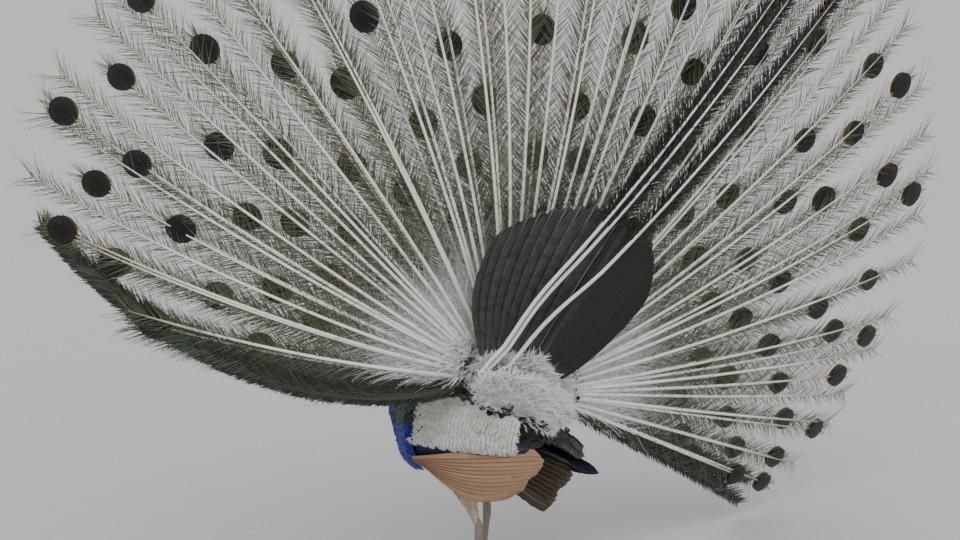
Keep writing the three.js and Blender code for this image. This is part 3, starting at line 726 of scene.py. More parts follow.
def trainFeathers():
    rows = []
    low, high, straight = fanSizes["from"], fanSizes["to"], fanSizes["straightFrom"]
    for r, share in enumerate(trainSizes["ranks"]):
        first = straight + (r % 2) * trainSizes["spacing"] / 2
        for angle in np.arange(first, high - 4, trainSizes["spacing"]):
            rows.append((eyed, angle + rng.uniform(-2, 2), share * rng.uniform(0.975, 1.02)))
    for i in range(trainSizes["fishtails"]):
        angle = mix(straight - 2, high - 8, (i + rng.uniform(0.2, 0.8)) / trainSizes["fishtails"])
        rows.append((fishtail, angle, rng.uniform(0.97, 1.0)))
    for i in range(trainSizes["swords"]):  # the left ones bend round under the fan, the right ones are few
        edge = i / trainSizes["swords"]
        share = mix(0.98, 0.72, smooth(0.3, 0.6, edge)) * rng.uniform(0.97, 1.0)
        rows.append((sword if edge < 0.4 else flank, mix(low, straight - 2, edge**1.9), share))
        if i % 2:
            rows.append((sword, high - edge * 7, rng.uniform(0.80, 0.97)))
    for _, slope, _ in trainSizes["strays"]:
        rows.append((stray, math.degrees(slope) * 0.5, rng.uniform(0.9, 0.97)))
    kinds, angles, shares = np.array(rows).T
    reaches = fanLength(angles) * shares * np.where(kinds == eyed, 1, 0.985) + np.where(kinds == eyed, 0.012, 0)
    edges = straight + np.array([-3, 0, 5, 8.5, 12])
    bent = np.interp(angles, edges, (0.74, 0.79, 0.94, 1.03, 2))  # none reaches past the bent swords
    reaches = np.where((kinds == sword) | (kinds == flank), reaches, np.minimum(reaches, bent))
    longest = fanLength(angles) * mix(0.99, 0.965, smooth(-60, -90, angles))
    return kinds.astype(int), angles, shares, np.minimum(reaches, longest)


def strayPath(start, slope, root, d):  # up behind the tail, then forwards to the fan's back, sliding sideways
    high = d / math.hypot(1, slope)
    aside = mix(root, start + slope * high, smooth(0.0, 0.30, high))
    onFan = fanPaths(np.degrees(np.arctan2(aside, high + 0.001)), np.hypot(aside, high), 12)[:, -1]
    rise = trainSizes["strayRise"]
    behindTail = tailSizes["back"] + 0.008 + high * math.sin(math.radians(tailSizes["lean"]))
    back = mix(behindTail, trainSizes["strayBehind"], smooth(rise, rise + 0.65, high))
    slideRight, slideUp = trainSizes["straySlide"]
    return onFan - back[:, None] * (fanAhead + slideRight * fanRight + slideUp * fanMiddle)


def barbTint(kind, d):
    count = (len(d), 1)
    green = np.array(trainSizes["swordGreen" if kind == sword else "olive"])
    far = mix(green, trainSizes["brown"], rng.uniform(0, 0.9, count))
    if kind == sword:
        return mix(far, green, 0.7) * rng.uniform(0.7, 1.1, count)
    # the strays' barbs keep their dull back colour darkened nearly to black: painted shade
    if kind == stray:
        return far * 0.05
    if kind == flank:
        return mix(far, trainSizes["flankGreen"], 0.6)
    pale = np.array(trainSizes["down"]) * rng.uniform(0.9, 1.1, count)
    return shade(pale, far, smooth(trainSizes["downFrom"], trainSizes["downTo"], d))


def barbRuns(kind, reach):  # where barbs grow: from, to, gap, and whether they frame the eye spot
    crowding = barbSizes["strayCrowding"] if kind == stray else 1
    gap = trainSizes["swordGap"] if kind == sword else trainSizes["barbGap"] * crowding
    start = trainSizes["strayRise"] - 0.04 if kind == stray else barbSizes["firstBarb"]
    runs = [(start, reach - (barbSizes["eyeRun"] if kind == eyed else 0.0), gap, False)]
    if kind == eyed:
        runs.append((reach - barbSizes["eyeRun"], reach - barbSizes["eyeEnd"], trainSizes["eyeBarbGap"], True))
    if kind in (eyed, fishtail):  # the white down between the roots of the quills
        runs.append((barbSizes["firstBarb"], barbSizes["lastDown"], trainSizes["downGap"], False))
    return runs


def featherBarbs(kind, angle, reach, at, way, across, front, lane):
    def read(values, d):
        t = np.clip(d / reach, 0, 1) * (len(values) - 1)
        i = np.minimum(t.astype(int), len(values) - 2)
        return mix(values[i], values[i + 1], (t - i)[:, None])

    parts = []
    size = barbSizes
    for low, high, gap, framing in barbRuns(kind, reach):
        for side in (-1, 1):
            d = np.arange(low, high, gap)
            count = len(d)
            near = 1 - smooth(0.16, 0.38, d)
            spread = mix(size["rootSlant"], size["tipSlant"], d / reach)
            slant = mix(spread, size["downSlant"], near) + rng.normal(0, size["ruffle"], count)
            slant = slant + near * rng.normal(0, size["downRuffle"], count)
            length = trainSizes["barbLength"] * rng.uniform(0.8, 1.1, count)
            tilt = rng.normal(size["tilt"], size["tiltRuffle"], count) * (1 - near)
            tilt = tilt + near * np.clip(rng.normal(0.0, 0.06, count), -0.12, 0.05)
            width = trainSizes["barbWidth"] * mix(1.0, size["downWidth"], near)
            if kind == sword:  # full on the outside of the sword, short on its inside
                share = size["swordOutside" if side == np.sign(angle) else "swordInside"]
                length, tilt = length * share * smooth(0.0, 0.12, d + 0.04), tilt * 0.3
                slant = mix(spread, size["swordSlant"], 0.6) - size["swordClose"]
                slant = slant + rng.normal(0, size["swordRuffle"], count)
            if kind == stray:
                length, tilt = length * size["strayLength"], tilt * 0.3
            if kind == fishtail:
                length = length * mix(*size["fishtailLengths"], d / reach)
                length = length * (1 + size["fishtailEnd"] * smooth(reach - 0.06, reach, d))
            if framing:
                close = (d - low) / (high - low)
                slant = mix(size["tipSlant"], size["eyeSlant"], close) + rng.normal(0, size["eyeRuffle"], count)
                length, tilt = mix(*size["eyeLengths"], close) * rng.uniform(0.92, 1.05, count), tilt * 0.2
            width = width * rng.uniform(0.8, 1.2, count) * (size["swordWidth"] if kind in (sword, stray) else 1.0)
            tint = barbTint(kind, d)
            if framing:
                tint = mix(trainSizes["eyeGreen"], trainSizes["eyeBronze"], rng.uniform(0, 1, (count, 1)))
            turn, facing = np.radians(slant)[:, None], read(front, d)
            aim = np.cos(turn) * read(way, d) + side * np.sin(turn) * read(across, d) + facing * tilt[:, None]
            # every other barb stands on the front and shows its green
            forward = (np.arange(count) % 2) * (kind in (eyed, fishtail)) * (1 - near)
            bright = mix(trainSizes["frontGreen"], trainSizes["frontBronze"], rng.uniform(0, 0.8, (count, 1)))
            lift = rng.uniform(-size["layer"], size["layer"], count) + size["downForward"] * near
            lift = lift + size["forward"] * forward
            face = facing + rng.normal(0, size["turnRuffle"], (count, 3))
            parts.append(roots(
                read(at, d) + facing * lift[:, None], aim, face, width, length, shade(tint, bright, forward),
                (lane, 0.01 + 0.97 * d / 1.3), rng.integers(0, 4, count),
            ))
    return together(*parts)


def eyeSpots(reach, path, way, front, place, count):  # a front and a back disc, each with its own cell for the bake
    middle = reach - barbSizes["eyeBack"]
    t = np.clip((middle - np.array([0.5 * trainSizes["eyeLength"], 0])) / reach, 0, 1) * (len(path) - 1)
    i = np.minimum(t.astype(int), len(path) - 2)
    start = mix(path[i[0]], path[i[0] + 1], t[0] - i[0])
    aim, facing = (mix(values[i[1]], values[i[1] + 1], t[1] - i[1]) for values in (way, front))
    grow = rng.uniform(0.92, 1.06)
    columns = math.ceil(math.sqrt(2 * count))
    sets = []
    for k, sign in enumerate((1, -1)):
        row, column = divmod(2 * place + k, columns)
        sets.append(roots(
            (start + facing * sign * trainSizes["eyeThick"])[None], aim[None], facing[None] * sign,
            trainSizes["eyeWidth"] * grow, trainSizes["eyeLength"] * grow, (float(k), 0, 0),
            ((column + 0.05) / columns, (row + 0.05) / columns), np.array([k]), patchSize=0.9 / columns,
        ))
    return together(*sets)


def makeTrain():
    kinds, angles, shares, reaches = trainFeathers()
    paths = fanPaths(angles, reaches, 33)
    beside = fanPaths(angles + 0.5, reaches, 33) - fanPaths(angles - 0.5, reaches, 33)
    front = unit(square(ahead(paths), beside, fanAhead))
    front[:, 0] = front[:, 1]
    across = np.cross(ahead(paths), front)
    d = np.linspace(0, 1, paths.shape[1])[None] * reaches[:, None]
    layer = trainSizes["frontLayer"] * (1 - shares)[:, None] * smooth(0.02, 0.25, d)
    layer = layer + rng.uniform(-0.003, 0.003, (len(angles), 1)) * smooth(0.1, 0.3, d)
    paths = paths + front * layer[..., None]
    for k, line in zip(np.flatnonzero(kinds == stray), trainSizes["strays"]):
        paths[k] = strayPath(*line, d[k])
    way = ahead(paths)
    radii = trainSizes["shaftRadius"] * mix(1.0, trainSizes["shaftMiddle"], smooth(0.1, 0.5, d))
    radii = radii * mix(1.0, trainSizes["shaftTip"], smooth(0.4, 1.25, d)) * mix(0.75, 1.0, shares)[:, None]
    radii = radii * mix(1.0, trainSizes["shaftEnd"], smooth(0.88, 1.0, d / reaches[:, None]))
    pale = (kinds != sword) & (kinds != flank)
    thin = radii[~pale] * trainSizes["swordShaft"]
    addShafts("train_shafts", paths[pale], radii[pale], finishes["shafts"], "train")
    addShafts("train_sword_shafts", paths[~pale], thin, finishes["darkShaft"], "train")
    panels, each = trainSizes["panels"], trainSizes["panelsEach"]
    panel = np.clip((angles - fanSizes["from"]) / ((fanSizes["to"] - fanSizes["from"]) / panels), 0, panels - 1)
    for g in range(math.ceil(panels / each)):
        members = np.flatnonzero(panel.astype(int) // each == g)
        spots = int(np.sum(kinds[members] == eyed))
        barbs, eyes = [], []
        for i, k in enumerate(members):
            lane = (i + 0.5) / len(members)
            barbs.append(featherBarbs(kinds[k], angles[k], reaches[k], paths[k], way[k], across[k], front[k], lane))
            if kinds[k] == eyed:
                eyes.append(eyeSpots(reaches[k], paths[k], way[k], front[k], len(eyes), spots))
        names = [f"train_{p + 1:02d}" for p in range(panels) if p // each == g]
        scatter(f"train_feathers_{g + 1}", barbVanes, finishes["barbs"], together(*barbs), names)
        scatter(f"train_eyes_{g + 1}", eyeVanes, finishes["eyes"], together(*eyes))


# the tail's quills stand behind the train in two halves
tailSizes = {
    "length": 0.440, "sideLength": 0.330, "feathers": 10, "back": 0.047, "lean": 9, "fold": 13, "start": 0.024,
    "shift": -0.028, "spread": (26, 21), "rootSpread": (0.088, 0.072), "bulge": (0.034, 0.022), "width": 0.031,
    "rootWidth": 0.010, "rounding": 0.12, "overlap": 1.5,
    # the two colours are painted light and shade: the left half as lit, the right half about a third as bright, as
    # shaded
    "colours": ((0.070, 0.064, 0.066), (0.022, 0.020, 0.022)), "shaft": (0.0019, 0.0005), "rows": 26,
}
quillSizes = {"columns": 8, "thick": 0.0005, "arch": 0.12, "ragged": 0.05}


def addQuills(name, paths, across, front, halfWidths, tints, finish, replaced):  # long vanes of even thickness
    def quads(*corners):
        return stacked(*corners).reshape(-1, 4)

    n, rows = paths.shape[:2]
    c = np.linspace(-1, 1, quillSizes["columns"] + 1)
    s = np.linspace(0, 1, rows)
    cells = np.arange(rows * len(c)).reshape(rows, -1)
    layer = cells.size
    a, b, left, right = cells[:-1, :-1], cells[1:, :-1], cells[:, 0], cells[:, -1]
    face = np.vstack([
        quads(a, b, b + 1, a + 1), quads(a, a + 1, b + 1, b) + layer,
        quads(left[:-1], left[:-1] + layer, left[1:] + layer, left[1:]),
        quads(right[1:], right[1:] + layer, right[:-1] + layer, right[:-1]),
        quads(cells[0, :-1], cells[0, 1:], cells[0, 1:] + layer, cells[0, :-1] + layer),
        quads(cells[-1, :-1] + layer, cells[-1, 1:] + layer, cells[-1, 1:], cells[-1, :-1]),
    ])
    if np.sum(np.cross(ahead(paths), across) * front) < 0:
        face = face[:, ::-1]
    wave = 1 + quillSizes["ragged"] * rng.normal(0, 1, (n, rows, 2)) * smooth(0.2, 0.9, s)[:, None]
    wide = halfWidths[..., None]
    half, arch = wide * np.where(c < 0, wave[..., :1], wave[..., 1:]), -(c**2) * wide * quillSizes["arch"]
    sheet = paths[:, :, None] + across[:, :, None] * (c * half)[..., None] + front[:, :, None] * arch[..., None]
    push = front[:, :, None] * (quillSizes["thick"] / 2) * (1 - 0.5 * np.abs(c))[:, None]
    points = np.stack([sheet + push, sheet - push], axis=1).reshape(-1, 3)
    flat = np.tile(stacked((c + 1) / 2, s[:, None]).reshape(-1, 2), (2 * n, 1))
    k, back = np.divmod(np.arange(2 * n * layer) // layer, 2)
    bake = stacked((k + 0.06 + 0.88 * flat[:, 0]) / n, 0.5 * back + 0.01 + 0.47 * flat[:, 1])
    faces = (face + np.arange(n)[:, None, None] * 2 * layer).reshape(-1, 4)
    mesh = meshOf(name, points + origin, faces, {"vane": flat, "OFBake": bake})
    storeTint(mesh, np.repeat(tints, 2 * layer, axis=0))
    print("  ", name, n, "quills,", len(faces), "faces")
    addPiece(name, mesh, finish, replaced)


def quillWidth(rows, root, widest, end):
    s = np.linspace(0, 1, rows)
    tip = np.sqrt(np.maximum(0.004, 1 - np.maximum(0, (s - 1 + end) / end) ** 2))
    return mix(root, widest, smooth(0.0, 0.55, s)) * tip


def tailPoint(half, u, v):
    share = u**0.9
    full = mix(tailSizes["length"], tailSizes["sideLength"], share**1.8)
    reach = mix(tailSizes["start"], full * 0.995, v)
    angle = np.radians(tailSizes["spread"][half] * share)
    outward = tailSizes["rootSpread"][half] + tailSizes["bulge"][half] * np.sin(math.pi * v)
    across = 0.003 + outward * share + (reach - tailSizes["start"]) * np.sin(angle)
    up = reach * np.cos(angle) - 0.005 * share
    forwards = across * math.sin(math.radians(tailSizes["fold"])) - reach * math.sin(math.radians(tailSizes["lean"]))
    right, forwards = tailSizes["shift"] + (-1, 1)[half] * across, forwards - tailSizes["back"]
    return apex + right[..., None] * fanRight + forwards[..., None] * fanAhead + up[..., None] * fanMiddle


def makeTail():
    count, rows = tailSizes["feathers"], tailSizes["rows"]
    v = np.linspace(0, 1, rows)
    k = np.arange(count)[:, None]
    u = (k + 0.35) / (count - 0.1) * mix(0.97, 1, v)
    shafts = []
    for half, side in enumerate(("left", "right")):
        path = tailPoint(half, u, v)
        beside = unit(tailPoint(half, u + 0.03, v) - tailPoint(half, u - 0.03, v))
        front = unit(square(ahead(path), beside, fanAhead))
        across = unit(beside - front * 0.10)
        fit = np.linalg.norm(tailPoint(half, u + 0.5 / count, v) - path, axis=-1) * tailSizes["overlap"] + 0.012
        width = quillWidth(rows, tailSizes["rootWidth"], tailSizes["width"], tailSizes["rounding"])
        width = np.minimum(width, fit) * mix(1, 0.8, k / count)
        # the left half is tinted as lit and the right half as shaded: painted light and shade
        tints = np.array(tailSizes["colours"][half]) * rng.uniform(0.8, 1.2, (count, 1))
        addQuills(f"tail_quills_{side}", path - front * 0.001, across, square(across, ahead(path), front), width,
                  tints, finishes["tailQuill"], [f"tail_{side}"])
        shafts.append(path - front * 0.0016)
    radii = np.broadcast_to(mix(*tailSizes["shaft"], v), (2 * count, rows))
    addShafts("tail_shafts", np.vstack(shafts), radii, finishes["tailShaft"], "tail_quills")


print("train")
makeTrain()
print("tail")
makeTail()


# soft down and the short feathers that grow straight on the skin
def surfaceRoots(spacing, keep, seed):  # evenly scattered places on the skin, with its normals
    draw = np.random.default_rng(seed)
    at, out, area = fetch(skinMesh.polygons, ("center", 3), ("normal", 3), ("area", 1))
    at = at - origin
    wanted = np.flatnonzero(keep(at, out))
    area = area[wanted, 0] / area[wanted].sum()
    pick = draw.choice(wanted, size=len(wanted) * 2, p=area)
    at, out = at[pick], out[pick]
    cell = np.floor(at / spacing + draw.uniform(0, 1, 3)).astype(int)
    _, first = np.unique(cell, axis=0, return_index=True)
    return at[first], out[first]


def fitted(across, along):  # a root's place on the bake's unwrap, kept off its far edges
    return across * 0.99, along * 0.99


def skinPatch(at):  # where a root lies on an unwrap of the skin round its middle line
    around = np.arctan2(at[:, 2] - 0.36, at[:, 0]) / (2 * math.pi) + 0.5
    return fitted(around, np.clip((at[:, 1] + 0.25) / 0.55, 0, 1))


downSizes = {
    "spacing": 0.0082, "length": 0.036, "tailTufts": 170, "tailRise": 0.14, "quillTufts": 420, "quillRise": 0.125,
    "tint": (0.96, 0.955, 0.97), "shade": (0.84, 0.83, 0.87),
}


def makeDown():
    draw = np.random.default_rng(5)
    at, out = surfaceRoots(downSizes["spacing"], behindFan, 3)
    half = draw.integers(0, 2, downSizes["tailTufts"])
    u = draw.uniform(0, 1, len(half))
    v = draw.uniform(0, 1, len(half)) * downSizes["tailRise"] * (1 - 0.75 * u)
    onTail = np.where(half[:, None] == 0, tailPoint(0, u, v), tailPoint(1, u, v)) - fanAhead * 0.006
    at, out = np.vstack([at, onTail]), np.vstack([out, np.broadcast_to(-fanAhead, onTail.shape)])
    right, up = ((at - apex) @ fanRight)[:, None], ((at - apex) @ fanMiddle)[:, None]
    way = unit(right * fanRight + (up + 0.05) * fanMiddle) * 0.6 + np.array([0, -0.6, -0.1])
    aim = laid(out, way, 0.55, 0.22, draw)
    length = mix(1.0, 0.62, smooth(0.02, -0.04, up[:, 0])) * draw.uniform(0.75, 1.15, len(at))
    angles = draw.uniform(fanSizes["straightFrom"], 92, downSizes["quillTufts"])
    rise = draw.uniform(0, 1, len(angles)) ** 1.4 * mix(1.0, 0.5, smooth(-20, 20, angles))
    paths = fanPaths(angles, 0.012 + downSizes["quillRise"] * rise, 8)
    along = unit(paths[:, -1] - paths[:, -2])
    at = np.vstack([at, paths[:, -1] - fanAhead * 0.003])
    out = np.vstack([out, np.broadcast_to(-fanAhead, along.shape)])
    aim = np.vstack([aim, along - fanAhead * 0.12 + draw.normal(0, 0.10, along.shape)])
    length = downSizes["length"] * np.concatenate([length, draw.uniform(0.8, 1.25, len(angles))])
    tint = mix(downSizes["tint"], downSizes["shade"], draw.uniform(0, 1, (len(at), 1)) ** 2)
    down = roots(at, aim, out, length, length, tint, skinPatch(at), draw.integers(0, 5, len(at)))
    scatter("down_rump", tuftVanes, finishes["down"], down)


print("down")
makeDown()

# the coat of small feathers on neck, breast, back and belly
coatSizes = {
    "spine": [
        (-0.196, 0.428), (-0.16, 0.412), (-0.105, 0.388), (-0.03, 0.360), (0.045, 0.346), (0.108, 0.352),
        (0.150, 0.378), (0.174, 0.418), (0.180, 0.464), (0.171, 0.514), (0.156, 0.564), (0.146, 0.612),
        (0.149, 0.655), (0.160, 0.690), (0.172, 0.712),
    ],
    "trunkSpacing": 0.0115, "neckSpacing": 0.0056, "neckFrom": 0.25, "neckTo": 0.44,
    "radiusAt": (0, 0.05, 0.2, 0.35, 0.45, 0.6, 0.75), "radii": (0.03, 0.07, 0.10, 0.10, 0.06, 0.035, 0.02),
    "deepBlue": (0.008, 0.022, 0.42), "blueGreen": (0.0, 0.10, 0.26), "green": (0.02, 0.10, 0.045),
    "gold": (0.13, 0.13, 0.025), "dark": (0.014, 0.026, 0.024), "brown": (0.03, 0.022, 0.018),
}
thighSizes = {
    "lines": [((-0.052, -0.008, 0.308), (-0.058, -0.064, 0.158)), ((0.052, 0.044, 0.308), (0.058, 0.016, 0.158))],
    "spacing": 0.0062, "length": 0.022, "width": 0.010, "tint": (0.66, 0.52, 0.38), "shade": (0.50, 0.38, 0.26),
}
headSizes = {
    "spacing": 0.0023, "length": 0.0072, "width": 0.0044, "from": 0.700, "billFrom": 0.2235,
    "lid": (0.0095, 0.0078), "blue": (0.010, 0.055, 0.42), "crown": (0.02, 0.10, 0.12),
}


def coatRoots():
    spine = smoothPath([(0, y, z) for y, z in coatSizes["spine"]], 600)
    run, way = runOf(spine), ahead(spine)
    rays = []
    s, row = 0.004, 0
    while s < run[-1]:
        toNeck = smooth(coatSizes["neckFrom"], coatSizes["neckTo"], s)
        thick = mix(coatSizes["trunkSpacing"], coatSizes["neckSpacing"], toNeck)
        centre, forward = (np.array([np.interp(s, run, c) for c in line.T]) for line in (spine, way))
        forward = unit(forward)
        up = np.array([0, -forward[2], forward[1]])
        count = max(8, int(2 * math.pi * np.interp(s, coatSizes["radiusAt"], coatSizes["radii"]) / thick))
        for j in range(count):
            turn = 2 * math.pi * (j + 0.5 * (row % 2) + rng.uniform(-0.15, 0.15)) / count
            start = centre + forward * rng.uniform(-0.2, 0.2) * thick
            out = np.array([math.cos(turn), 0, 0]) + up * math.sin(turn)
            rays.append((*start, *out, *-forward, s / run[-1], turn / (2 * math.pi), thick))
        s += thick * 0.8
        row += 1
    rays = np.array(rays)
    at, out, hit = cast(rays[:, :3], rays[:, 3:6], 0.2)
    return at[hit], out[hit], rays[hit, 6:9], rays[hit, 9:]


def onThigh(at):  # near the line from hip to ankle, which the buff thigh feathers cover
    found = np.zeros(len(at), bool)
    for hip, ankle in np.array(thighSizes["lines"]):
        t = np.clip((at - ankle) @ (hip - ankle) / np.sum((hip - ankle) ** 2), 0, 1)
        away = np.linalg.norm(at - (ankle + t[:, None] * (hip - ankle)), axis=1)
        found |= (away < mix(0.024, 0.058, smooth(0, 0.7, t))) & (at[:, 2] < 0.272)
    return found


def breastShare(at, out, along):  # 1 on the blue of breast and neck, 0 on back and belly
    side = smooth(0.045, 0.085, at[:, 1] - 0.10 * np.maximum(out[:, 2], 0) - 0.4 * np.maximum(0.31 - at[:, 2], 0))
    shoulder = smooth(0.85, 0.60, out[:, 1]) * smooth(0.345, 0.375, at[:, 2]) * smooth(0.60, 0.50, along)
    return np.clip(np.maximum(side, smooth(0.50, 0.60, along)) - shoulder, 0, 1)


def markings(at, out, along):
    _, y, z = at.T
    lower = shade(coatSizes["dark"], coatSizes["brown"], smooth(-0.02, -0.14, y))
    upper = shade(coatSizes["gold"], coatSizes["green"], smooth(0.0, 0.12, y))
    trunk = shade(lower, upper, smooth(-0.1, 0.5, out[:, 2]))
    breast = shade(coatSizes["deepBlue"], coatSizes["blueGreen"], bump(z, 0.47, 0.05) * 0.35)
    return shade(trunk, breast, breastShare(at, out, along))


def makeCoat():
    at, out, lies, marks = coatRoots()
    keep = ~onThigh(at + rng.normal(0, 0.006, at.shape)) & ~behindFan(at, out)
    at, out, lies, (along, around, thick) = at[keep], out[keep], lies[keep], marks[keep].T
    aim = laid(out, lies, mix(0.15, 0.10, smooth(0.5, 0.7, along))[:, None], 0.05, rng)
    high = smooth(0.5, 0.8, along)
    length = thick * mix(2.6, 2.5, high) * rng.uniform(0.9, 1.15, len(at))
    tint = markings(at, out, along) * rng.uniform(0.8, 1.2, (len(at), 1))
    patch, kind = fitted(around, along), rng.integers(0, 4, len(at))
    everything = roots(at, aim, out, thick * mix(1.7, 2.0, high), length, tint, patch, kind)
    blue = breastShare(at, out, along) > 0.5
    back = ~blue & (out[:, 2] > 0.25)
    scatter("coat_neck", smallVanes, finishes["blue"], chosen(everything, blue))
    scatter("coat_back", contourVanes, finishes["scales"], chosen(everything, back))
    scatter("coat_belly", contourVanes, finishes["belly"], chosen(everything, ~blue & ~back))


def makeThighs():
    draw = np.random.default_rng(6)
    at, out = surfaceRoots(thighSizes["spacing"], lambda at, out: onThigh(at), 4)
    aim = laid(out, np.array([[0, -0.15, -1.0]]), 0.16, 0.08, draw)
    small = mix(0.55, 1.0, smooth(0.16, 0.24, at[:, 2]))
    length = thighSizes["length"] * small * draw.uniform(0.85, 1.15, len(at))
    tint = mix(thighSizes["tint"], thighSizes["shade"], draw.uniform(0, 1, (len(at), 1)))
    kind = draw.integers(0, 4, len(at))
    scatter("coat_thighs", smallVanes, finishes["thigh"],
            roots(at, aim, out, thighSizes["width"] * small, length, tint, skinPatch(at), kind))


def onHead(at, out):  # the feathered head, without the bill, the lids and the bare white skin
    y, z = at[:, 1] - rightEye[1], at[:, 2] - rightEye[2]
    ovals = (*bareOvals(y, z, 0, 0.0002), oval(y, z, *headSizes["lid"]))
    bare = (np.min(ovals, axis=0) < 1.0) & (np.abs(at[:, 0]) > 0.006)
    return (at[:, 2] > headSizes["from"]) & (at[:, 1] < headSizes["billFrom"]) & ~bare


def makeHeadCoat():
    draw = np.random.default_rng(7)
    at, out = surfaceRoots(headSizes["spacing"], onHead, 5)
    aim = laid(out, np.array([[0, -1.0, -0.25]]), 0.10, 0.07, draw)
    fine = mix(1.0, 0.55, smooth(0.195, 0.222, at[:, 1]))
    length = headSizes["length"] * fine * draw.uniform(0.85, 1.1, len(at))
    tint = shade(headSizes["blue"], headSizes["crown"], smooth(0.728, 0.742, at[:, 2]))
    tint, kind = tint * draw.uniform(0.75, 1.25, (len(at), 1)), draw.integers(0, 4, len(at))
    scatter("coat_head", smallVanes, finishes["blue"],
            roots(at, aim, out, headSizes["width"] * fine, length, tint, skinPatch(at), kind))


def markSkin():  # the bare skin takes the colours of the coat above it, so no gap shows
    at, out = fetch(skinMesh.vertices, ("co", 3), ("normal", 3))
    at = at - origin
    spine = smoothPath([(0, y, z) for y, z in coatSizes["spine"]], 100)
    away = [np.linalg.norm(at[:, 1:] - point[1:], axis=1) for point in spine]
    tint = markings(at, out, np.argmin(away, axis=0) / (len(spine) - 1))
    tint[onThigh(at)] = thighSizes["tint"]
    tint[behindFan(at, out) & (out @ fanAhead < 0.05) & ((at - apex) @ fanAhead < -0.04)] = downSizes["shade"]
    storeTint(skinMesh, tint * 0.8)


print("coat, thighs and head")
makeCoat()
makeThighs()
makeHeadCoat()
markSkin()

# the short golden green feathers on the front of the fan's root
rosetteSizes = {
    "from": 0.012, "to": 0.30, "spacing": 0.0175, "width": 0.026, "length": 0.038, "low": -118, "high": 92,
    "green": (0.035, 0.13, 0.04), "gold": (0.20, 0.19, 0.02), "copper": (0.22, 0.115, 0.02), "rootSpacing": 0.0105,
}


def makeRosette():
    draw = np.random.default_rng(8)
    angles, reaches = [], []
    d, spacing = rosetteSizes["from"], rosetteSizes["spacing"]
    while d < rosetteSizes["to"]:
        step = math.degrees(spacing / (d + 0.05))
        angles += list(np.arange(rosetteSizes["low"] + draw.uniform(0, step), rosetteSizes["high"], step))
        reaches += [d] * (len(angles) - len(reaches))
        d += spacing * 0.70
    angles = np.array(angles) + draw.uniform(-1.5, 1.5, len(angles))
    reaches = np.array(reaches) + draw.uniform(-0.003, 0.003, len(angles))
    paths = fanPaths(angles, reaches, 12)
    way = unit(paths[:, -1] - paths[:, -2])
    face = unit(fanAhead - way * (way @ fanAhead)[:, None])
    at = paths[:, -1] + face * mix(0.036, 0.030, smooth(0.0, 0.3, reaches))[:, None]
    aim = unit(way + face * 0.12 + draw.normal(0, 0.035, at.shape))

    def onRoot(at, out):  # the bare front of the fan's root, down to the back
        local = at - apex
        near = (np.linalg.norm(local, axis=1) < 0.15) & (local @ fanAhead > -0.035)
        return near & (out @ fanAhead > 0.12) & (at[:, 2] > 0.385)

    rootAt, rootOut = surfaceRoots(rosetteSizes["rootSpacing"], onRoot, 9)
    away = rootAt - apex + fanMiddle * 0.06
    rootAim = laid(rootOut, unit(away), 0.25, 0.05, draw)
    at, aim, face = np.vstack([at, rootAt]), np.vstack([aim, rootAim]), np.vstack([face, rootOut])
    far = np.concatenate([reaches, np.linalg.norm(away, axis=1) * 0.6])
    grow = mix(0.72, 1.25, smooth(0.02, rosetteSizes["to"], far))
    tint = shade(rosetteSizes["green"], rosetteSizes["gold"], smooth(0.02, 0.16, far))
    tint = shade(tint, rosetteSizes["copper"], smooth(0.15, 0.30, far) * 0.7)
    tint = mix(tint, rosetteSizes["green"], draw.uniform(0, 0.55, (len(at), 1)) ** 1.5)
    tint = tint * draw.uniform(0.85, 1.15, (len(at), 1))
    turn = np.concatenate([angles, np.degrees(np.arctan2(away @ fanRight, away @ fanMiddle))])
    patch, kind = fitted(np.clip((turn + 130) / 260, 0, 1), far / 0.35), draw.integers(0, 4, len(at))
    width, length = rosetteSizes["width"] * grow, rosetteSizes["length"] * grow
    scatter("train_scales", contourVanes, finishes["scales"],
            roots(at, aim, face, width, length, tint, patch, kind, lift=rosetteSizes["length"]))


print("scales on the fan's root")
makeRosette()

# the folded wings
wingSizes = {
    "pivotY": 0.095, "pivotZ": 0.364, "centreZ": 0.341, "halfHeight": 0.113, "halfWidth": 0.121,
    "shieldFront": 0.114, "wristY": 0.084, "wristTop": 0.300, "wristBottom": 0.274, "notch": 0.05,
    "covertRows": 22, "covertLines": 10, "covertWidth": 0.026, "covertLength": 0.046,
    "frontNarrow": 0.026, "backNarrow": 0.014, "frontLow": 0.018, "shieldTops": (36, 66), "shieldEdge": 89,
    "shieldSlant": 0.026, "shieldRound": 0.034, "secondaryTurns": (90.0, 107.0, 96.0), "secondaryFront": 0.066,
    "secondarySlant": 0.040, "primarySlant": 0.026, "shoulderOut": 0.011, "saddleRise": 0.012, "quillLayer": 0.00027,
    "quillRoot": 0.45, "quillRounding": 0.10, "quillTilt": 0.08,
    "secondaries": 13, "secondaryWidth": 0.011, "primaries": 10, "primaryWidth": 0.017, "shaft": (0.0013, 0.0004),
    "shoulderFrom": 0.136, "shoulderTo": 0.076, "shoulderSpacing": 0.0085, "scapularRows": 18, "scapularLines": 6,
    "mantle": (0.014, 0.028, 0.026), "blue": (0.008, 0.022, 0.42), "green": (0.02, 0.10, 0.045),
    # olive is dark back plumage deepened by painted shade, for the outer scapulars beneath the white down
    "gold": (0.09, 0.10, 0.025), "olive": (0.022, 0.030, 0.024), "pale": (0.78, 0.75, 0.71),
    "sand": (0.60, 0.57, 0.53), "flight": (0.012, 0.022, 0.075), "rust": (0.54, 0.33, 0.19),
}
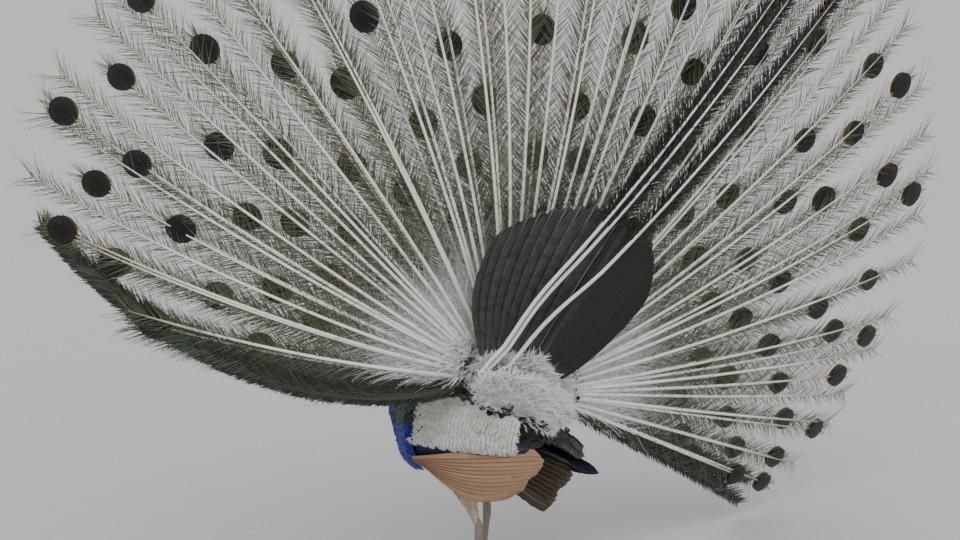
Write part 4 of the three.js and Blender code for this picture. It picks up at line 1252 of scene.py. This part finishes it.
# shade multiplies each wing's feather colours: the left wing's leaves them as lit, the right wing's is painted shade
# for the shadow that wing lies in
wings = [
    {
        "side": "left", "sign": -1, "droop": -8, "splay": 2, "shieldBack": -0.266, "secondaryBack": -0.268,
        "reach": 0.388, "lowest": 0.7, "tipTop": 0.332, "tipBottom": 0.243, "bow": 0.030, "shade": (1.0, 1.0, 1.0),
    },
    {
        "side": "right", "sign": 1, "droop": 12, "splay": 4, "shieldBack": -0.224, "secondaryBack": -0.254,
        "reach": 0.276, "lowest": 0.84, "tipTop": 0.326, "tipBottom": 0.211, "bow": 0.020, "shade": (0.25, 0.31, 0.36),
    },
]


def wingPoint(wing, y, turn, out):
    narrow = wingSizes["frontNarrow"] * smooth(0.070, 0.150, y) + wingSizes["backNarrow"] * smooth(0.120, 0.260, -y)
    low = wingSizes["halfHeight"] - wingSizes["frontLow"] * smooth(0.090, 0.150, y)
    x = wing["sign"] * (wingSizes["halfWidth"] - narrow + out) * np.sin(np.radians(turn))
    return stacked(x, y, wingSizes["centreZ"] + (low + out) * np.cos(np.radians(turn)))


def placeWing(wing, points):  # folded, turned down and out at the shoulder
    pivot = np.array([0, wingSizes["pivotY"], wingSizes["pivotZ"]])
    droop, splay = math.radians(wing["droop"]), math.radians(wing["sign"] * wing["splay"])
    spin = np.array([[math.cos(splay), -math.sin(splay), 0], [math.sin(splay), math.cos(splay), 0], [0, 0, 1]])
    dip = np.array([[1, 0, 0], [0, math.cos(droop), -math.sin(droop)], [0, math.sin(droop), math.cos(droop)]])
    return (points - pivot) @ (dip @ spin).T + pivot


def shieldPoint(wing, u, v, out):
    back = wing["shieldBack"] + wingSizes["shieldSlant"] * u
    front = wingSizes["shieldFront"] - wingSizes["shieldRound"] * (1 - np.sin(math.pi * np.minimum(u + 0.1, 1)))
    top = mix(*wingSizes["shieldTops"], smooth(0.25, 1, v))
    return placeWing(wing, wingPoint(wing, mix(front, back, v), mix(top, wingSizes["shieldEdge"], u), out))


def primaryPoint(wing, u, v):
    end = 1 - wingSizes["notch"] * bump(u, 0.52, 0.16) - 0.03 * smooth(0.15, 0.0, u)
    reach = mix(0.014, wing["reach"] * mix(1, wing["lowest"], u**2) * end * 0.995, v)
    y = wingSizes["wristY"] - wingSizes["primarySlant"] * u * (1 - v) - reach
    root, tip = mix(wingSizes["wristTop"], wingSizes["wristBottom"], u), mix(wing["tipTop"], wing["tipBottom"], u)
    z = mix(root, tip, v) - wing["bow"] * u * np.sin(math.pi * v)
    inwards = -0.003 + 0.015 * u + 0.016 * smooth(0.040, 0.320, -y)
    return placeWing(wing, stacked(wing["sign"] * (wingSizes["halfWidth"] - inwards), y, z))


def secondaryPoint(wing, u, v):
    upper, root, tip = wingSizes["secondaryTurns"]
    turn = mix(upper, mix(root, tip, np.sqrt(v)), u)
    y = mix(wingSizes["secondaryFront"], wing["secondaryBack"] + wingSizes["secondarySlant"] * u, v)
    return placeWing(wing, wingPoint(wing, y, turn, 0.0045 - 0.002 * u))


def overlaid(surface, a, b, steps, towards, lift, dip, ruffle, draw):  # feathers that lie back along a surface
    (a0, a1), (b0, b1) = steps
    at = surface(a, b)
    back, down = unit(surface(a + a1, b) - surface(a + a0, b)), unit(surface(a, b + b1) - surface(a, b + b0))
    out = unit(square(back, down, towards))
    return at, back + out * lift + down * dip + draw.normal(0, ruffle, at.shape), out


def makeShoulder(wing, draw):  # breast and mantle feathers that cover the wing's front edge
    step = wingSizes["shoulderSpacing"]
    across = math.degrees(step / 0.115)
    y, turn = [], []
    for row, place in enumerate(np.arange(wingSizes["shoulderFrom"], wingSizes["shoulderTo"], -step)):
        line = np.arange(40 + (row % 2) * across / 2, 124, across)
        turn += list(line)
        y += [place] * len(line)
    turn, y = np.array(turn) + draw.uniform(-1, 1, len(turn)), np.array(y) + draw.uniform(-0.002, 0.002, len(y))
    towards = np.array([wing["sign"], 0, 0])

    def edge(y, turn):
        return placeWing(wing, wingPoint(wing, y, turn, wingSizes["shoulderOut"]))

    at, aim, out = overlaid(edge, y, turn, ((0, -0.01), (0, 3)), towards, 0.05, 0.12, 0.05, draw)
    tint = shade(wingSizes["mantle"], wingSizes["blue"], smooth(70, 84, turn)) * draw.uniform(0.8, 1.2, (len(at), 1))
    length = draw.uniform(0.020, 0.027, len(at))
    patch = fitted(turn / 130, (y - wingSizes["shoulderTo"]) / 0.07)
    scatter(f"coat_shoulder_{wing['side']}", smallVanes, finishes["blue"],
            roots(at, aim, out, 0.015, length, tint, patch, draw.integers(0, 4, len(at))))


def makeScapulars(wing, draw):  # scale feathers from the back over the wing's upper edge
    v, t = [], []
    for row in range(wingSizes["scapularRows"]):
        for line in range(wingSizes["scapularLines"]):
            v.append(0.04 + row * 0.043 + draw.uniform(-0.01, 0.01))
            t.append((line + 0.5 * (row % 2) + draw.uniform(-0.1, 0.1)) / (wingSizes["scapularLines"] - 0.1))
    v, t = np.array(v), np.array(t)

    def saddle(v, t):
        edge = shieldPoint(wing, 0.04 + 0 * v, v, 0.010)
        low, _, hit = cast(stacked(wing["sign"] * 0.046, edge[:, 1], 0.62), np.tile(-upwards, (len(v), 1)), 0.4)
        low[~hit] = edge[~hit] * np.array([0.4, 1, 1])
        low[:, 2] = np.minimum(low[:, 2], 0.47) + 0.006
        return mix(low, edge, t[:, None]) + wingSizes["saddleRise"] * upwards * np.sin(math.pi * t)[:, None]

    at, aim, out = overlaid(saddle, v, t, ((-0.03, 0.03), (-0.08, 0.08)), upwards, 0.06, 0.15, 0.04, draw)
    inner = shade(wingSizes["green"], wingSizes["gold"], v)
    # the outer scapulars run to the dark olive: dark plumage with painted shade beneath the white down
    tint = shade(inner, wingSizes["olive"], smooth(0.3, 0.9, t)) * draw.uniform(0.8, 1.2, (len(at), 1))
    length = mix(0.026, 0.030, v) * mix(1.0, 0.8, t) * draw.uniform(0.9, 1.1, len(at))
    scatter(f"coat_scapular_{wing['side']}", contourVanes, finishes["scales"],
            roots(at, aim, out, length * 0.75, length, tint, fitted(t, v), draw.integers(0, 4, len(at))))


def makeCoverts(wing, draw):
    u, v = [], []
    for row in range(wingSizes["covertRows"]):
        for line in range(wingSizes["covertLines"]):
            u.append((line + 0.5 * (row % 2) + draw.uniform(-0.12, 0.12)) / (wingSizes["covertLines"] - 0.5))
            v.append(0.015 + row * 0.84 / (wingSizes["covertRows"] - 1))
    u, v = np.clip(np.array(u), 0, 0.98), np.array(v) + draw.uniform(-0.01, 0.01, len(v))
    bulge = np.sin(math.pi * np.clip(u, 0.04, 0.96)) * np.sin(math.pi * np.clip(v, 0.05, 0.95))
    depth = 0.007 + 0.004 * smooth(0.75, 0.98, u) + 0.0035 * bulge
    at, aim, out = overlaid(lambda v, low: shieldPoint(wing, low, v, depth), v, 1.07 * u,
                            ((-0.03, 0.03), (-0.03, 0.03)), np.array([wing["sign"], 0, 0]), 0.07, 0.10, 0.03, draw)
    grow = mix(0.5, 1.0, smooth(0.0, 0.55, v)) * mix(0.8, 1.1, u)
    length = wingSizes["covertLength"] * grow * draw.uniform(0.9, 1.1, len(at))
    # the coverts take three quarters of the wing's painted shade
    tint = mix(wingSizes["pale"], wingSizes["sand"], draw.uniform(0, 1, (len(at), 1))) * mix(wing["shade"], 1, 0.25)
    coverts = roots(at, aim, out, wingSizes["covertWidth"] * grow, length, tint, fitted(u, v),
                    draw.integers(0, 4, len(at)))
    scatter(f"wing_barred_{wing['side']}", contourVanes, finishes["barred"], coverts,
            [f"wing_coverts_{wing['side']}"])


def wingQuills(kind, wing, centre, colour, finish, draw, count, width, rows=24):
    v = np.linspace(0, 1, rows)
    k = np.arange(count)[:, None]
    u = (k + 0.5) / count + 0 * v
    path = centre(wing, u, v)
    side = centre(wing, np.minimum(u + 0.04, 1), v) - centre(wing, np.maximum(u - 0.04, 0), v)
    out = unit(square(ahead(path), side, np.array([wing["sign"], 0, 0])))
    across = np.cross(out, ahead(path))
    tilted = unit(across - out * wingSizes["quillTilt"] * np.sign(across[..., 2:]))
    front = square(ahead(path), tilted, out)
    path = path + out * wingSizes["quillLayer"] * (count - k)[..., None]
    tints = np.array(colour) * draw.uniform(*((0.7, 1.3) if kind == "secondary" else (0.85, 1.15)), (count, 1))
    widths = quillWidth(rows, width * wingSizes["quillRoot"], width, wingSizes["quillRounding"])
    node = {"secondary": "secondaries", "primary": "primaries"}[kind]
    # the quills' colours carry the wing's painted shade
    addQuills(f"wing_{kind}_{wing['side']}", path, tilted, front, np.tile(widths, (count, 1)), tints * wing["shade"],
              finish, [f"wing_{node}_{wing['side']}"])
    return path + front * 0.0006


print("wings")
wingDraw = np.random.default_rng(9)
for wing in wings:
    makeShoulder(wing, wingDraw)
    makeScapulars(wing, wingDraw)
    makeCoverts(wing, wingDraw)
    wingQuills("secondary", wing, secondaryPoint, wingSizes["flight"], finishes["darkFlight"], wingDraw,
               wingSizes["secondaries"], wingSizes["secondaryWidth"])
    shafts = wingQuills("primary", wing, primaryPoint, wingSizes["rust"], finishes["chestnut"], wingDraw,
                        wingSizes["primaries"], wingSizes["primaryWidth"])
    radii = np.broadcast_to(np.linspace(*wingSizes["shaft"], shafts.shape[1]), shafts.shape[:2])
    addShafts(f"wing_shafts_{wing['side']}", shafts, radii, finishes["rustShaft"], "primary_quills", 4)

# bill, eyes with their lids, and crest; each row of the bill is y, z, half width, depth above and below
billSizes = {
    "upper": [
        (0.2120, 0.7180, 0.0080, 0.0070, 0.0024), (0.2200, 0.7178, 0.0074, 0.0066, 0.0025),
        (0.2290, 0.7170, 0.0067, 0.0060, 0.0030), (0.2410, 0.7145, 0.0050, 0.0048, 0.0030),
        (0.2510, 0.7100, 0.0030, 0.0034, 0.0025), (0.2565, 0.7062, 0.0015, 0.0018, 0.0018),
        (0.2585, 0.7040, 0.0004, 0.0005, 0.0006),
    ],
    "lower": [
        (0.2050, 0.7135, 0.0050, 0.0025, 0.0040), (0.2120, 0.7122, 0.0062, 0.0032, 0.0048),
        (0.2200, 0.7110, 0.0060, 0.0041, 0.0042), (0.2310, 0.7098, 0.0051, 0.0038, 0.0034),
        (0.2430, 0.7078, 0.0034, 0.0030, 0.0024), (0.2500, 0.7060, 0.0016, 0.0016, 0.0012),
        (0.2516, 0.7053, 0.0004, 0.0004, 0.0004),
    ],
    "nostril": (0.2285, 0.7195), "nostrilSize": (0.0036, 0.0012), "rings": 26, "sides": 24,
    # the hole colour is painted shade inside the nostrils
    "light": (0.36, 0.33, 0.29), "dark": (0.24, 0.21, 0.18), "ridge": (0.14, 0.12, 0.11), "hole": (0.012, 0.01, 0.01),
}


def paintBill(bench):  # horn, darker along the ridge, with dark nostrils
    y, z = bench.offsets(*billSizes["nostril"])
    grain = bench.noise(500.0, 3.0, (1, 0.25, 1))
    # the nostrils' near-black ovals are painted shade in their openings
    hole = 1 - oval(y, z + y * 0.2, *billSizes["nostrilSize"]).above(1.0, 0.3)
    base = bench.colour(grain * 0.6, billSizes["light"], billSizes["dark"])
    base = bench.colour(z.above(0.0015, 0.003) * 0.6, base, billSizes["ridge"])
    return {
        "Base Color": bench.colour(hole, base, billSizes["hole"]), "Roughness": grain * 0.15 + 0.28,
        "Normal": bench.relief(grain * 0.4 - hole, 0.5, 0.0006),
    }


def makeBill():
    horn = newFinish("bill horn", paintBill, Coat_Weight=0.25)
    for part in ("upper", "lower"):
        path = smoothPath([(0, *row) for row in billSizes[part]], billSizes["rings"])
        points, faces = limb(path[:, :3], upwards, *np.maximum(path[:, 3:].T, 0.0003), billSizes["sides"])
        addShape(f"bill_{part}_horn", points, faces, horn, "bill", [f"bill_{part}"])


eyeSizes = {
    "radius": 0.0062, "pupil": 0.0028, "lidRadius": 0.0058, "lidThick": 0.0008, "lidOut": 0.0034,
    "light": (0.11, 0.045, 0.016), "dark": (0.055, 0.022, 0.01), "edge": (0.02, 0.012, 0.01),
}


def paintEyeball(bench):
    y, z = bench.offsets(*rightEye[1:])
    wide = (y * y + z * z).sum("SQRT")
    spokes = bench.noise(1500.0)
    base = bench.colour(spokes, eyeSizes["light"], eyeSizes["dark"])
    base = bench.colour(wide.above(0.0045, 0.0008), base, eyeSizes["edge"])
    base = bench.colour(1 - wide.above(eyeSizes["pupil"], 0.0002), base, (0.002, 0.002, 0.002))
    return {"Base Color": base, "Roughness": spokes * 0.04 + 0.06}


def makeEyes():
    ball = newFinish("eyeball", paintEyeball, Coat_Weight=0.4, Coat_Roughness=0.02, Specular_IOR_Level=0.2)
    lid = grained("eyelid", 1200.0, (0.035, 0.04, 0.07), (0.015, 0.02, 0.04), 0.5, (0.3, 0.0003))
    rise, turn = np.linspace(0, math.pi, 19)[1:-1], np.linspace(0, 2 * math.pi, 41)
    radius, reach = eyeSizes["radius"], eyeSizes["lidRadius"]
    for sign, side in ((-1, "left"), (1, "right")):
        centre = rightEye * np.array([sign, 1, 1])
        pole = np.array([sign * radius, 0, 0])
        wide = radius * np.sin(rise)
        points, faces = limb(centre + np.cos(rise)[:, None] * pole, upwards, wide, wide, wide, 32)
        points[-2:] = centre + pole, centre - pole
        addShape(f"eyeball_{side}", points, faces, ball, "eye", [f"eye_{side}"])
        rims = [  # each lid has an inner and an outer rim
            stacked(sign * eyeSizes["lidOut"] * out, reach * grow * np.cos(turn),
                    reach * grow * squeeze * np.sin(turn) + 0.0004)
            for grow, squeeze, out in ((1.0, 0.70, 1.0), (1.14, 0.82, 0.7))
        ]
        thick = eyeSizes["lidThick"] * np.array([[1.0], [0.8]]) * np.ones(len(turn))
        points, faces, strip = tubes(np.array(rims) + centre, thick, 8)
        addShape(f"eyelids_{side}", points, faces, lid, "eye", layers={"OFBake": strip})


crestSizes = {
    "y": 0.184, "z": 0.742, "count": 22, "spread": 70, "lean": 12, "shaft": 0.054, "tip": 0.0165, "tipWidth": 0.0125,
    "radii": (0.00055, 0.00035), "tint": (0.010, 0.11, 0.30),
}


def makeCrest():
    draw = np.random.default_rng(12)
    count = crestSizes["count"]
    share = np.linspace(-0.5, 0.5, count)
    swing = np.radians(crestSizes["lean"] - share * crestSizes["spread"] + draw.uniform(-1.5, 1.5, count))
    outward = np.where(np.arange(count) % 2, 1, -1) * draw.uniform(0.3, 1.0, count)
    way = unit(stacked(outward * 0.065, -np.sin(swing), np.cos(swing)))[:, None]
    root = stacked(outward * 0.0015, crestSizes["y"] + share * 0.010, crestSizes["z"])[:, None]
    long = crestSizes["shaft"] * draw.uniform(0.88, 1.0, count) + 0.004
    t = np.linspace(0, 1, 12)
    bend = stacked(0, draw.uniform(-0.003, 0.001, count), 0)[:, None]
    paths = root + way * (t * long[:, None])[..., None] + bend * (t**2)[:, None]
    radii = np.broadcast_to(mix(*crestSizes["radii"], t), paths.shape[:2])
    shaft = grained("crest shafts", 700.0, (0.36, 0.33, 0.30), (0.16, 0.15, 0.15), 0.4)
    addShafts("crest_shafts", paths, radii, shaft, "crest", 4)
    aim = unit(paths[:, -1] - paths[:, -3])
    tint = np.array(crestSizes["tint"]) * draw.uniform(0.7, 1.3, (count, 1))
    fans = roots(paths[:, -1] - aim * 0.005, aim, stacked(1.0, 0, outward * 0.2), crestSizes["tipWidth"],
                 crestSizes["tip"], tint, ((np.arange(count) + 0.5) / count, 0.5), draw.integers(0, 3, count))
    scatter("crest_fans", crestVanes, finishes["blue"], fans, ["crest"])


# legs: scaled shanks and toes, claws and spurs
legSizes = {
    "legs": [("left", -0.058, -0.064, -0.054), ("right", 0.058, 0.016, 0.030)], "ankle": 0.158, "toeHeight": 0.010,
    "shankRadii": (0.0020, 0.0085, 0.0095, 0.0074, 0.0066, 0.0064, 0.0064, 0.0070, 0.0080, 0.0090),
    "toes": [
        ("inner", 0.050, -32, 0.010), ("middle", 0.068, 0, 0.011), ("outer", 0.054, 30, 0.010),
        ("hind", 0.030, 176, 0.0085),
    ],
    "claw": (0.013, 0.0029), "spur": (0.062, 0.021, 0.0052), "shankScutes": 21, "shankDepth": 0.0009,
    "toeScute": 0.0055, "toeDepth": 0.0006,
}


def paintLegSkin(bench):  # horny scales with dark creases
    grain = bench.noise(260.0, 3.0)
    cells = bench.add(
        "ShaderNodeTexVoronoi", {"feature": "DISTANCE_TO_EDGE"}, {"Vector": bench.place(), "Scale": 320.0},
    )
    crease = 1 - cells.above(0.08, 0.06)
    base = bench.colour(grain, (0.30, 0.25, 0.21), (0.17, 0.15, 0.135))
    return {
        "Base Color": bench.colour(crease * 0.45, base, (0.06, 0.05, 0.045)), "Roughness": grain * 0.2 + 0.42,
        "Normal": bench.relief(grain * 0.4 - crease, 0.5, 0.0005),
    }


def scaledLimb(path, facing, halfWidth, above, below, sides, scutes, depth):  # overlapping scutes on one side
    points, faces = limb(path, facing, halfWidth, above, below, sides)
    turn = np.tile(np.linspace(0, 2 * math.pi, sides, endpoint=False), len(path))
    step = (np.repeat(np.linspace(0, 1, len(path)), sides) * scutes) % 1
    raised = smooth(0.15, 0.6, np.sin(turn)) * (smooth(0.0, 0.85, step) - smooth(0.85, 1.0, step))
    points[:-2] += unit(points[:-2] - np.repeat(path, sides, axis=0)) * depth * raised[:, None]
    return points, faces


def toeParts(foot, way, name, long, width):  # a toe with its joints and a curved claw, flat underneath
    high, t = legSizes["toeHeight"], np.linspace(0, 1, 44)
    joints = 1 + 0.07 * np.cos(2 * math.pi * t * (3 if name != "hind" else 2)) * smooth(0.1, 0.3, t)
    end = np.sqrt(np.maximum(0.05, 1 - np.maximum(0, (t - 0.93) / 0.075) ** 2))
    top, wide = high * mix(1.1, 0.62, t) * joints * end, width / 2 * mix(1, 0.66, t) * joints * end
    path = foot + way * (t * long)[:, None] + upwards * (top * 0.42)[:, None]
    scutes = max(5, int(long / legSizes["toeScute"]))
    toe = scaledLimb(path, upwards, wide, top * 0.58, top * 0.42, 16, scutes, legSizes["toeDepth"])
    reach, radius = legSizes["claw"]
    stops = ((-0.003, high * 0.36), (reach * 0.45, high * 0.45), (reach * 0.8, high * 0.32), (reach, 0.0012))
    nail = smoothPath([foot + way * (long + on) + upwards * up for on, up in stops], 16)
    thick = radius * np.sqrt(np.maximum(0.0, 1 - np.linspace(0, 1, 16) ** 1.6)) + 0.0003
    claw = limb(nail, upwards, thick * 0.8, thick, thick, 12)
    for points, _ in (toe, claw):
        points[:, 2] = np.maximum(points[:, 2], 0.0)
    return toe, claw


def makeLegs():
    skin = newFinish("leg skin", paintLegSkin)
    horn = grained("claw horn", 500.0, (0.075, 0.062, 0.052), (0.03, 0.026, 0.024), 0.25, (0.2, 0.0003),
                   Coat_Weight=0.2)
    ankle = legSizes["ankle"]
    for side, x, ankleY, footY in legSizes["legs"]:
        shank = smoothPath([
            (x, ankleY + 0.008, ankle + 0.028), (x, ankleY, ankle), (x, (ankleY + footY) / 2, 0.080),
            (x, footY, legSizes["toeHeight"] * 0.6),
        ], 90)
        thick = np.interp(np.linspace(0, 1, 90), np.linspace(0, 1, 10), legSizes["shankRadii"])
        scutes, depth = legSizes["shankScutes"], legSizes["shankDepth"]
        parts = [scaledLimb(shank, np.array([0, 1.0, 0.15]), thick * 0.96, thick, thick, 20, scutes, depth)]
        claws = {}
        for name, long, turn, width in legSizes["toes"]:
            angle = math.radians(-turn * np.sign(x))
            way = np.array([-math.sin(angle), math.cos(angle), 0])
            toe, claws[name] = toeParts(np.array([x, footY, 0]), way, name, long, width)
            parts.append(toe)
        firsts = np.cumsum([0] + [len(points) for points, _ in parts])
        faces = [[first + i for i in face] for first, (_, some) in zip(firsts, parts) for face in some]
        points = np.vstack([points for points, _ in parts])
        addShape(f"leg_{side}_skin", points, faces, skin, "leg_skin", [f"shank_{side}", f"foot_{side}"])
        for name, claw in claws.items():
            addShape(f"claw_horn_{name}_{side}", *claw, horn, "claw", [f"claw_{name}_{side}"])
        height, long, radius = legSizes["spur"]
        base, sign = mix(footY, ankleY, 0.4), np.sign(x)
        spur = smoothPath([
            (x - sign * 0.004, base - 0.001, height), (x - sign * 0.009, base - 0.012, height + 0.001),
            (x - sign * 0.012, base - long, height + 0.006),
        ], 16)
        thick = radius * (1 - np.linspace(0, 1, 16) ** 1.3) + 0.0004
        addShape(f"spur_horn_{side}", *limb(spur, upwards, thick, thick, thick, 14), horn, "claw", [f"spur_{side}"])


print("head and legs")
makeBill()
makeEyes()
makeCrest()
makeLegs()

# the view: from behind and to the left of the bird, level with its back
viewSizes = {"azimuth": -48, "elevation": 12, "distance": 4.2, "lens": 75, "target": (-0.012, -0.026, 0.708)}
lights = [
    ("key", -70, 50, 1.75, (1.0, 0.99, 0.97)), ("fill", 15, 35, 0.66, (0.96, 0.98, 1.0)),
    ("front", 160, 45, 0.60, (0.98, 0.99, 1.0)),
]


def makeView():
    camera = linked("camera", bpy.data.cameras.new("camera"))
    camera.data.lens, camera.data.sensor_width = viewSizes["lens"], 36
    turn, rise = math.radians(viewSizes["azimuth"]), math.radians(viewSizes["elevation"])
    back = np.array([math.sin(turn) * math.cos(rise), -math.cos(turn) * math.cos(rise), math.sin(rise)])
    camera.location = (np.array(viewSizes["target"]) + origin + back * viewSizes["distance"]).tolist()
    camera.rotation_euler = (math.radians(90) - rise, 0, turn)
    bpy.context.scene.camera = camera


def makeStage(reach=400.0):
    low = float(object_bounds()[0][2])
    corners = [(x * reach, y * reach, low) for x, y in ((-1, -1), (1, -1), (1, 1), (-1, 1))]
    floor = linked("floor", meshOf("floor", corners, [[0, 1, 2, 3]]))
    floor.data.materials.append(grained(
        "floor", 14.0, (0.49, 0.49, 0.49), (0.51, 0.51, 0.51), 0.75, detail=4.0, spread=0.1, Specular_IOR_Level=0.0,
    ))
    world = bpy.context.scene.world or bpy.data.worlds.new("studio")
    bpy.context.scene.world = world
    world.use_nodes = True
    sky = world.node_tree.nodes["Background"].inputs
    sky[0].default_value, sky[1].default_value = (0.665, 0.67, 0.68, 1), 1.0
    for name, turn, rise, power, colour in lights:  # broad lights from far away, so the floor is evenly lit
        light = bpy.data.lights.new(name, "SUN")
        light.angle, light.energy, light.color = math.radians(50), power, colour
        linked(name, light).rotation_euler = (math.radians(90 - rise), 0, math.radians(turn))


print("view")
makeView()
makeStage()
